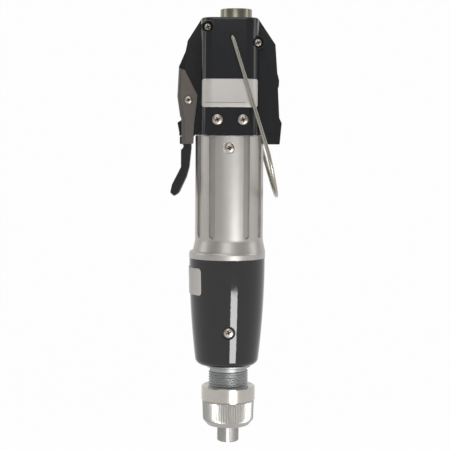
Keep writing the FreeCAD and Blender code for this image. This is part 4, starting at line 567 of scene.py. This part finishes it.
class SCREWDRIVER_OT_torque_nut(bpy.types.Operator):
    """Turn the torque nut and knurl its grip"""
    bl_idname = "screwdriver.torque_nut"
    bl_label = "Torque nut"
    # Radii: the hole for the collar, the thread, the mouth of the top, and the undercut below the
    # band. Heights: the floor inside, the band, its chamfer and the undercut.
    hole, thread, mouth, neck = 6.5, 11.65, 14.2, 14.5
    floor, band_tall, chamfer, undercut = 4.5, 8.2, 0.3, 0.4
    # Outlines as radius and height: the rounded foot and the swelling grip over the foot, and the
    # shallow cone from the top
    rounded = ((11.8, 0.0), (12.2, 0.25), (14.35, 3.0))
    grip = ((14.6, 3.4), (14.68, 5.0), (14.8, 9.3))
    grip_top = 15.0
    cone = ((mouth, 0.0), (12.3, -1.1), (thread, -1.6))

    def execute(self, context):
        sizes = context.scene.screwdriver_sizes
        depth = sizes.knurl_depth / MM
        foot, top, band = low("torque_nut").z, high("torque_nut").z, high("torque_nut").x
        step_up = top - self.band_tall

        def raised(outline, level):
            return [(radius, level + height) for radius, height in outline]

        grip = raised(self.grip, foot) + [(self.grip_top, step_up - 2 * self.undercut)]
        nut = lathe("torque_nut_knurled", [
            (self.hole, foot), *raised(self.rounded, foot), *grip,
            (self.neck, step_up - self.undercut), (self.neck, step_up),
            (band - self.chamfer, step_up), (band, step_up + self.chamfer),
            (band, top - 2 * self.chamfer), (band - 2 * self.chamfer, top),
            *raised(self.cone, top), (self.thread, foot + self.floor),
            (self.hole, foot + self.floor), (self.hole, foot)], sizes.knurl_teeth * 2)
        turn = math.pi / sizes.knurl_teeth
        edit(nut)
        for _, level in grip:
            def valley(spot, level=level):
                number = round(math.atan2(spot.y, spot.x) / turn)
                return abs(spot.z - level) < NEAR and spot.xy.length > self.mouth and number % 2
            pick(nut, valley)
            shrink = 1 - depth / self.neck
            bpy.ops.transform.resize(value=(shrink, shrink, 1.0), center_override=(0, 0, 0))
        leave_edit()
        for face in nut.data.polygons:
            face.material_index = int(face.center.z > (step_up - self.undercut) * MM)
        finish(nut, "torque_nut", ("Knurled aluminium", "Turned anodised band"),
               "torque_nut", angle=25)
        return {"FINISHED"}


class SCREWDRIVER_OT_nose_thread(bpy.types.Operator):
    """Turn the nose tube and wind its thread"""
    bl_idname = "screwdriver.nose_thread"
    bl_label = "Nose thread"
    # Radii: the bore, the thread's crest, the collar over it, the flange and the bearing's seat
    bore, crest, collar, flange, seat = 9.3, 11.5, 13.0, 16.2, 11.4
    # Heights: where the thread ends, the flange's underside and the bearing's step. Chamfers: on
    # the collar and the flange, and at the tube's foot.
    shoulder, underside, step, chamfer, point = 43.7, 48.2, 57.7, 0.3, 0.4
    # The three frame screws pass the flange: their circle, clearance, counterbore, depths and turns
    circle, clearance, counterbore, screw_foot, counterbore_top = 13.8, 1.3, 2.0, 45.7, 50.5
    turns = (90, 210, 330)
    # The thread's plain ends below and above, how far its ridge is sunk in the tube and stays
    # under the full crest, and where crest and foot end, in shares of the pitch
    lead_in, run_out, sunk, under = 0.7, 1.9, 0.2, 0.1
    crest_start, crest_end, ridge_end = 0.52, 0.64, 1.16

    def execute(self, context):
        sizes = context.scene.screwdriver_sizes
        pitch, depth = sizes.thread_pitch / MM, sizes.thread_depth / MM
        foot, top = low("nose_tube").z, high("nose_tube").z
        root = self.crest - depth
        tube = lathe("nose_tube_threaded", [
            (self.bore, foot), (root - self.point, foot), (root, foot + self.point),
            (root, self.shoulder), (self.collar - self.chamfer, self.shoulder),
            (self.collar, self.shoulder + self.chamfer), (self.collar, self.underside),
            (self.flange - self.chamfer, self.underside),
            (self.flange, self.underside + self.chamfer), (self.flange, top), (self.seat, top),
            (self.seat, self.step), (self.bore, self.step), (self.bore, foot)])
        for angle in self.turns:
            spot = [self.circle * share(math.radians(angle)) for share in (math.cos, math.sin)]
            for radius, end in ((self.clearance, top + 2), (self.counterbore, self.counterbore_top)):
                bpy.ops.mesh.primitive_cylinder_add(vertices=24, radius=radius * MM,
                                                    depth=(end - self.screw_foot) * MM)
                tool = bpy.context.object
                tool.location = Vector((*spot, (self.screw_foot + end) / 2)) * MM
                settle(tool)
                cut(tube, tool)
        start, end = foot + self.lead_in, self.shoulder - self.run_out
        inner, outer = root - self.sunk, self.crest - self.under
        ridge = chain("thread", [(inner, 0, start), (outer, 0, start + self.crest_start * pitch),
                                 (outer, 0, start + self.crest_end * pitch),
                                 (inner, 0, start + self.ridge_end * pitch)])
        use_modifier(ridge, "SCREW", {"angle": math.tau, "screw_offset": pitch * MM,
                                      "iterations": int((end - start) / pitch), "steps": 64,
                                      "render_steps": 64, "axis": "Z",
                                      "use_merge_vertices": True})
        tidy(ridge)
        tube = joined("nose_tube_threaded", [tube, ridge])
        finish(tube, "root", ("Threaded steel",), "nose_tube", angle=20)
        return {"FINISHED"}


class SCREWDRIVER_OT_screws(bpy.types.Operator):
    """Model the cross recessed screws and set them in their seats"""
    bl_idname = "screwdriver.screws"
    bl_label = "Screws"
    finishes = ("Zinc plated screw", "Screw steel with painted shade and dust in the recess")
    # Radius of the head, its height, radius of the shank and its length
    lower, upper = (3.0, 1.7, 1.5, 11.0), (2.7, 1.7, 1.5, 22.0)
    barrel, casing, pivot = (2.9, 1.7, 1.5, 5.4), (2.9, 1.36, 1.5, 5.4), (2.2, 1.3, 1.5, 16.6)
    # Height of the head's dome over its radius, in shares of both
    dome = ((0.0, 1.0), (0.3, 1.0), (0.6, 0.95), (0.82, 0.84), (0.95, 0.66), (1.0, 0.42))
    # Turn of the cross in degrees, its length in shares of the head's radius, its width at the foot
    # in shares of the mouth's, and how far its tool stands over the head
    cross_turn, cross_long, cross_foot, clear = 20, 1.3, 0.45, 1.0
    # How far inside the recess its faces lie, over the seat and under the dome
    over_seat, under_dome = 0.05, 0.07
    # The shank's point, narrower and shorter, and the head's rim
    point, point_tall, rim, rim_tall = 0.55, 0.6, 0.08, 0.1
    # The hexagon nut behind the lever's pivot: radius over its corners, height and bevel
    nut_radius, nut_tall, nut_bevel = 2.88, 1.8, 0.2
    # Seats: how far from the axis those of the lower, upper, barrel and casing screws lie, and
    # where the lever's screw and nut sit, in front and behind
    face, wing, neck, skirt, pivot_front, pivot_back = 20.5, 14.0, 18.9, 18.4, 7.4, 8.3
    # The lower screws' places across, and the heights of lower, barrel and casing screws
    across, lower_up, barrel_up, casing_up = (7.5, -6.8), 186.1, 170.2, 65.8

    def pan_screw(self, head, tall, shank, deep):
        """A pan head screw along Z with its seat at 0."""
        sizes = bpy.context.scene.screwdriver_sizes
        wide, sunk = sizes.recess_width / MM, sizes.recess_depth / MM
        made = lathe("screw", [
            (0.0, -deep), (shank * self.point, -deep), (shank, -deep + self.point_tall),
            (shank, 0.0), (head - self.rim, 0.0), (head, self.rim_tall)]
            + [(head * out, tall * up) for out, up in reversed(self.dome)], 40)
        deep_tool = sunk + self.clear
        for turn in (0, 90):
            bpy.ops.mesh.primitive_cube_add(size=1.0)
            tool = bpy.context.object
            tool.scale = (head * self.cross_long * MM, wide * MM, deep_tool * MM)
            tool.location = (0, 0, (tall - sunk + deep_tool / 2) * MM)
            tool.rotation_euler = (0, 0, math.radians(turn + self.cross_turn))
            settle(tool)
            edit(tool)
            pick(tool, lambda spot: spot.z < tall)
            bpy.ops.transform.resize(value=(self.cross_foot, self.cross_foot, 1.0),
                                     center_override=(0, 0, 0))
            leave_edit()
            cut(made, tool)
        for name in self.finishes:
            made.data.materials.append(bpy.data.materials[name])
        # Faces in the cross recess take the second finish: painted shade, with dust from the driver.
        for face in made.data.polygons:
            face.material_index = int(self.sunk(face.center / MM, head, tall))
        return made

    def sunk(self, spot, head, tall):
        """Whether a spot lies in the cross recess, well under the dome of the head."""
        out = spot.xy.length / head
        for (inner, high_side), (outer, low_side) in zip(self.dome, self.dome[1:]):
            if inner <= out <= outer:
                share = (out - inner) / (outer - inner)
                top = tall * (high_side + (low_side - high_side) * share)
                return self.over_seat < spot.z < top - self.under_dome
        return False

    def set_screws(self, kind, seats):
        """Screws of one kind in their seats, given as place and turn."""
        pattern = self.pan_screw(*kind)
        made = [copied(pattern, spot, turn) for spot, turn in seats]
        bpy.data.objects.remove(pattern)
        return made

    def execute(self, context):
        front, back = (90, 0, 0), (-90, 0, 0)
        lower_seats = [((x, y, self.lower_up), turn) for y, turn in ((-self.face, front),
                                                                     (self.face, back))
                       for x in self.across]
        groups = (
            ("head_screws_recessed", "head_screws", (
                (self.lower, lower_seats),
                (self.upper, [((x, -self.wing, z), front) for x, z in UPPER_SEATS]))),
            ("barrel_screw_recessed", "barrel_screw", (
                (self.barrel, [((0, -self.neck, self.barrel_up), front)]),)),
            ("casing_screw_recessed", "casing_screw", (
                (self.casing, [((0, -self.skirt, self.casing_up), front)]),)),
        )
        for name, node, kinds in groups:
            parts = [made for kind, seats in kinds for made in self.set_screws(kind, seats)]
            finish(joined(name, parts), "root", self.finishes, node, angle=30)
        # The lever's pivot: a small screw from the front and a hexagon nut behind
        x, z = PIVOT
        parts = self.set_screws(self.pivot, [((x, -self.pivot_front, z), front)])
        bpy.ops.mesh.primitive_cylinder_add(vertices=6, radius=self.nut_radius * MM,
                                            depth=self.nut_tall * MM)
        nut = bpy.context.object
        settle(nut)
        use_modifier(nut, "BEVEL", {"width": self.nut_bevel * MM, "segments": 2,
                                    "limit_method": "ANGLE"})
        parts.append(copied(nut, (x, self.pivot_back, z), back))
        bpy.data.objects.remove(nut)
        finish(joined("lever_pivot_recessed", parts), "root", self.finishes,
               "lever_pivot", angle=30)
        return {"FINISHED"}


class SCREWDRIVER_OT_hanger_bail(bpy.types.Operator):
    """Bend the hanger bail from one length of wire"""
    bl_idname = "screwdriver.hanger_bail"
    bl_label = "Hanger bail"
    # Radius of the wire in CAD, and how far from the axis its ends stand in the head
    solid_wire, ends = 1.15, 18.7
    # Bends: down the leg, the radius, and the legs' lean from the vertical in degrees. Seen from
    # the front the two legs lean a little differently, so that both show.
    tight, knee, foot = 2.2, (68.0, 30.0), (93.0, 21.0)
    knee_lean, front_lean, rear_lean = 17.5, 16.1, 16.0

    def execute(self, context):
        sizes = context.scene.screwdriver_sizes
        pivot = (low("hanger_bail").x + self.solid_wire, high("hanger_bail").z - self.solid_wire)
        side = high("hanger_bail").y - self.solid_wire

        def leg(y, lean, far):
            """A point so far down a leg that leans from the vertical."""
            turn = math.radians(lean)
            return pivot[0] + far * math.sin(turn), y, pivot[1] - far * math.cos(turn)

        corners = ((leg(-self.ends, 0, 0), 0), (leg(-side, 0, 0), self.tight),
                   (leg(-side, self.knee_lean, self.knee[0]), self.knee[1]),
                   (leg(-side, self.front_lean, self.foot[0]), self.foot[1]),
                   (leg(side, self.rear_lean, self.foot[0]), self.foot[1]),
                   (leg(side, 0, 0), self.tight), (leg(self.ends, 0, 0), 0))
        chain("hanger_bail_wire", bent(corners))
        bpy.ops.object.convert(target="CURVE")
        wire = context.object
        wire.data.fill_mode = "FULL"
        wire.data.bevel_depth = sizes.wire_width / 2
        wire.data.bevel_resolution = 6
        wire.data.use_fill_caps = True
        bpy.ops.object.convert(target="MESH")
        wire = context.object
        wire.name = wire.data.name = "hanger_bail_wire"
        tidy(wire)
        finish(wire, "bail", ("Nickel plated wire",), "hanger_bail")
        return {"FINISHED"}


class SCREWDRIVER_OT_soft_edges(bpy.types.Operator):
    """Break the edges of the sheet, turned and moulded pieces that show"""
    bl_idname = "screwdriver.soft_edges"
    bl_label = "Soft edges"
    # Node, body, slot, the bevel in shares of the edge break, and further finishes
    pieces = (
        ("barrel", "root", "cast_aluminium", 2.2,
         ("Casting with painted shade in the flutes", "Casting with painted highlight on the flute edges")),
        ("lever_channel", "lever", "pewter_sheet", 2.0, ()),
        ("lever_tail", "lever", "black_tail", 3.5, ()),
        ("direction_rocker", "direction_rocker", "black_housing", 1.4, ()),
        ("bit_collar", "bit_collar", "turned_steel", 0.6, ()),
        ("connector_shell", "root", "nickel_wire", 0.8, ()),
        ("casing_badge", "root", "label_foil", 0.4, ()),
        ("rating_plate", "root", "label_foil", 0.4, ("Printed line",)))
    # Faces on these are so wide that their shading is kept even
    even = ("barrel", "lever_channel", "lever_tail")
    # The head's wings: where their fronts and the joint between the halves lie, half the width of
    # the block between them, the barrel's top, where the rear wing clears the lever, the radius
    # of the holes in them, and the bevel in shares of the edge break
    wing_front, joint, block, barrel_top, clear_side = 6.0, 3.0, 16.1, 179.3, 28.6
    hole, outline_share = 4.5, 1.8
    # The brow over the lever: its underside, its inner end and where its outer end begins
    brow, brow_end, brow_side = 216.1, -25.3, -28
    # Where the lever's cheeks begin at the left, how far up they go, and where the tail's top begins
    cheek_side, cheek_top, tail_top = -26, 188, 175.5
    # The flutes: their lower end, and radii over the bore, the floors and the edges
    flute_foot, over_bore, floor, rim = 118.7, 18.4, 18.8, 19.47
    # The printed line: over the plate's foot, and its two ends. It shows on faces whose normals
    # point this far to the front.
    rule_up, rule_left, rule_right, rule_front = 2.6, -13.6, 9.0, 0.3

    def execute(self, context):
        width = context.scene.screwdriver_sizes.edge_break
        made_of = {node: name for name, nodes in MADE_OF.items() for node in nodes}
        for node, body, slot, share, more in self.pieces:
            piece = node_copy(node, node + "_edged")
            self.nudge(piece, node)
            use_modifier(piece, "BEVEL", {"width": width * share, "segments": 2,
                                          "limit_method": "ANGLE", "use_clamp_overlap": True,
                                          "angle_limit": math.radians(SHARP)})
            if node in self.even:
                even_normals(piece)
            if node == "barrel":
                self.flutes(piece)
            if node == "rating_plate":
                self.rule(piece)
            finish(piece, body, (made_of[node], *more), node)
        for node, outline in (("head_front_shell", self.front_outline),
                              ("head_rear_shell", self.rear_outline)):
            piece = node_copy(node, node + "_edged")
            self.nudge(piece, node)
            self.break_outline(piece, outline, width * self.outline_share)
            finish(piece, "root", (made_of[node],), node)
        return {"FINISHED"}

    def front_outline(self, spot):
        """Whether a spot of the front half lies on its wings' outline."""
        return abs(spot.y + self.wing_front) < ON and (
            abs(spot.x) > self.block or spot.z < self.barrel_top)

    def rear_outline(self, spot):
        """Whether a spot of the rear half lies on its wings' outline, behind or in front."""
        return abs(spot.y - self.wing_front) < ON or (abs(spot.y + self.joint) < ON and (
            spot.z < self.barrel_top or abs(spot.x) > self.clear_side))

    def break_outline(self, piece, outline, width):
        """Bevels the sharp edges of a housing half along the outline of its wings."""
        edit(piece)
        bpy.ops.mesh.select_mode(type="EDGE")
        bpy.ops.mesh.select_all(action="DESELECT")
        bpy.ops.mesh.edges_select_sharp(sharpness=math.radians(SHARP))
        leave_edit()
        spots = [vertex.co / MM for vertex in piece.data.vertices]
        for line in piece.data.edges:
            ends = [spots[i] for i in line.vertices]
            holes = any((spot.xz - Vector(hole)).length < self.hole for spot in ends
                        for hole in (PIVOT, *UPPER_SEATS))
            line.select = line.select and not holes and all(outline(spot) for spot in ends)
        bpy.ops.object.mode_set(mode="EDIT")
        bpy.ops.mesh.bevel(offset=width, offset_type="OFFSET", segments=2, clamp_overlap=True)
        leave_edit()
        even_normals(piece)

    def nudge(self, piece, node):
        """Moves a few edges on to the photograph's outline: which vertices, and how far in mm."""
        moves = {
            # The lever's cheeks, wider at the left
            "lever_channel": ((lambda spot: spot.x < self.cheek_side and spot.z < self.cheek_top,
                               (-0.7, 0, 0)),),
            # The tail, up into the lever
            "lever_tail": ((lambda spot: spot.z > self.tail_top, (0, 0, 0.8)),),
            # The brow's underside, down to the lever at both its ends
            "head_rear_shell": (
                (lambda spot: self.on_brow(spot) and spot.x < self.brow_side, (0, 0, -0.4)),
                (lambda spot: self.on_brow(spot) and abs(spot.x - self.brow_end) < NEAR,
                 (0, 0, -1.9)))}
        for chosen, move in moves.get(node, ()):
            edit(piece)
            pick(piece, chosen)
            bpy.ops.transform.translate(value=Vector(move) * MM)
            leave_edit()

    def on_brow(self, spot):
        return abs(spot.z - self.brow) < NEAR

    def flutes(self, barrel):
        """Numbers the faces of the flutes: 1 for their floors, painted with shade, 2 for their edges,
        painted with a highlight.
        """
        for face in barrel.data.polygons:
            spot, radius = face.center / MM, face.center.xy.length / MM
            outward = face.normal.xy.dot(spot.xy) > 0
            if spot.z > self.flute_foot and self.over_bore < radius < self.rim and outward:
                face.material_index = 1 if radius < self.floor else 2

    def rule(self, plate):
        """Prints one plain line along the foot of the plate."""
        half = bpy.context.scene.screwdriver_sizes.rule_width / MM / 2
        height, left, right = low("rating_plate").z + self.rule_up, self.rule_left, self.rule_right
        for spot, normal in (((0, 0, height - half), AXIS), ((0, 0, height + half), AXIS),
                             ((left, 0, 0), (1, 0, 0)), ((right, 0, 0), (1, 0, 0))):
            edit(plate)
            bpy.ops.mesh.select_all(action="SELECT")
            bpy.ops.mesh.bisect(plane_co=Vector(spot) * MM, plane_no=normal)
            leave_edit()
        for face in plate.data.polygons:
            spot = face.center / MM
            printed = abs(spot.z - height) < half and left < spot.x < right
            face.material_index = int(printed and face.normal.y < -self.rule_front)


class VIEW3D_PT_screwdriver(bpy.types.Panel):
    bl_label = "Torque screwdriver"
    bl_space_type = "VIEW_3D"
    bl_region_type = "UI"
    bl_category = "Screwdriver"

    def draw(self, context):
        for group in (context.scene.screwdriver_sizes, context.scene.screwdriver_colours):
            for name in group.__annotations__:
                self.layout.prop(group, name)
        for tool in OPERATORS:
            self.layout.operator(tool.bl_idname)


OPERATORS = (
    SCREWDRIVER_OT_stage,
    SCREWDRIVER_OT_finishes,
    SCREWDRIVER_OT_torque_nut,
    SCREWDRIVER_OT_nose_thread,
    SCREWDRIVER_OT_screws,
    SCREWDRIVER_OT_hanger_bail,
    SCREWDRIVER_OT_soft_edges,
)
CLASSES = (ScrewdriverSizes, ScrewdriverColours, *OPERATORS, VIEW3D_PT_screwdriver)


def register():
    for item in CLASSES:
        bpy.utils.register_class(item)
    bpy.types.Scene.screwdriver_sizes = bpy.props.PointerProperty(type=ScrewdriverSizes)
    bpy.types.Scene.screwdriver_colours = bpy.props.PointerProperty(type=ScrewdriverColours)


def unregister():
    del bpy.types.Scene.screwdriver_colours
    del bpy.types.Scene.screwdriver_sizes
    for item in reversed(CLASSES):
        bpy.utils.unregister_class(item)


def main():
    register()
    for tool in OPERATORS:
        family, action = tool.bl_idname.split(".")
        getattr(getattr(bpy.ops, family), action)()


if __name__ == "__main__":
    main()
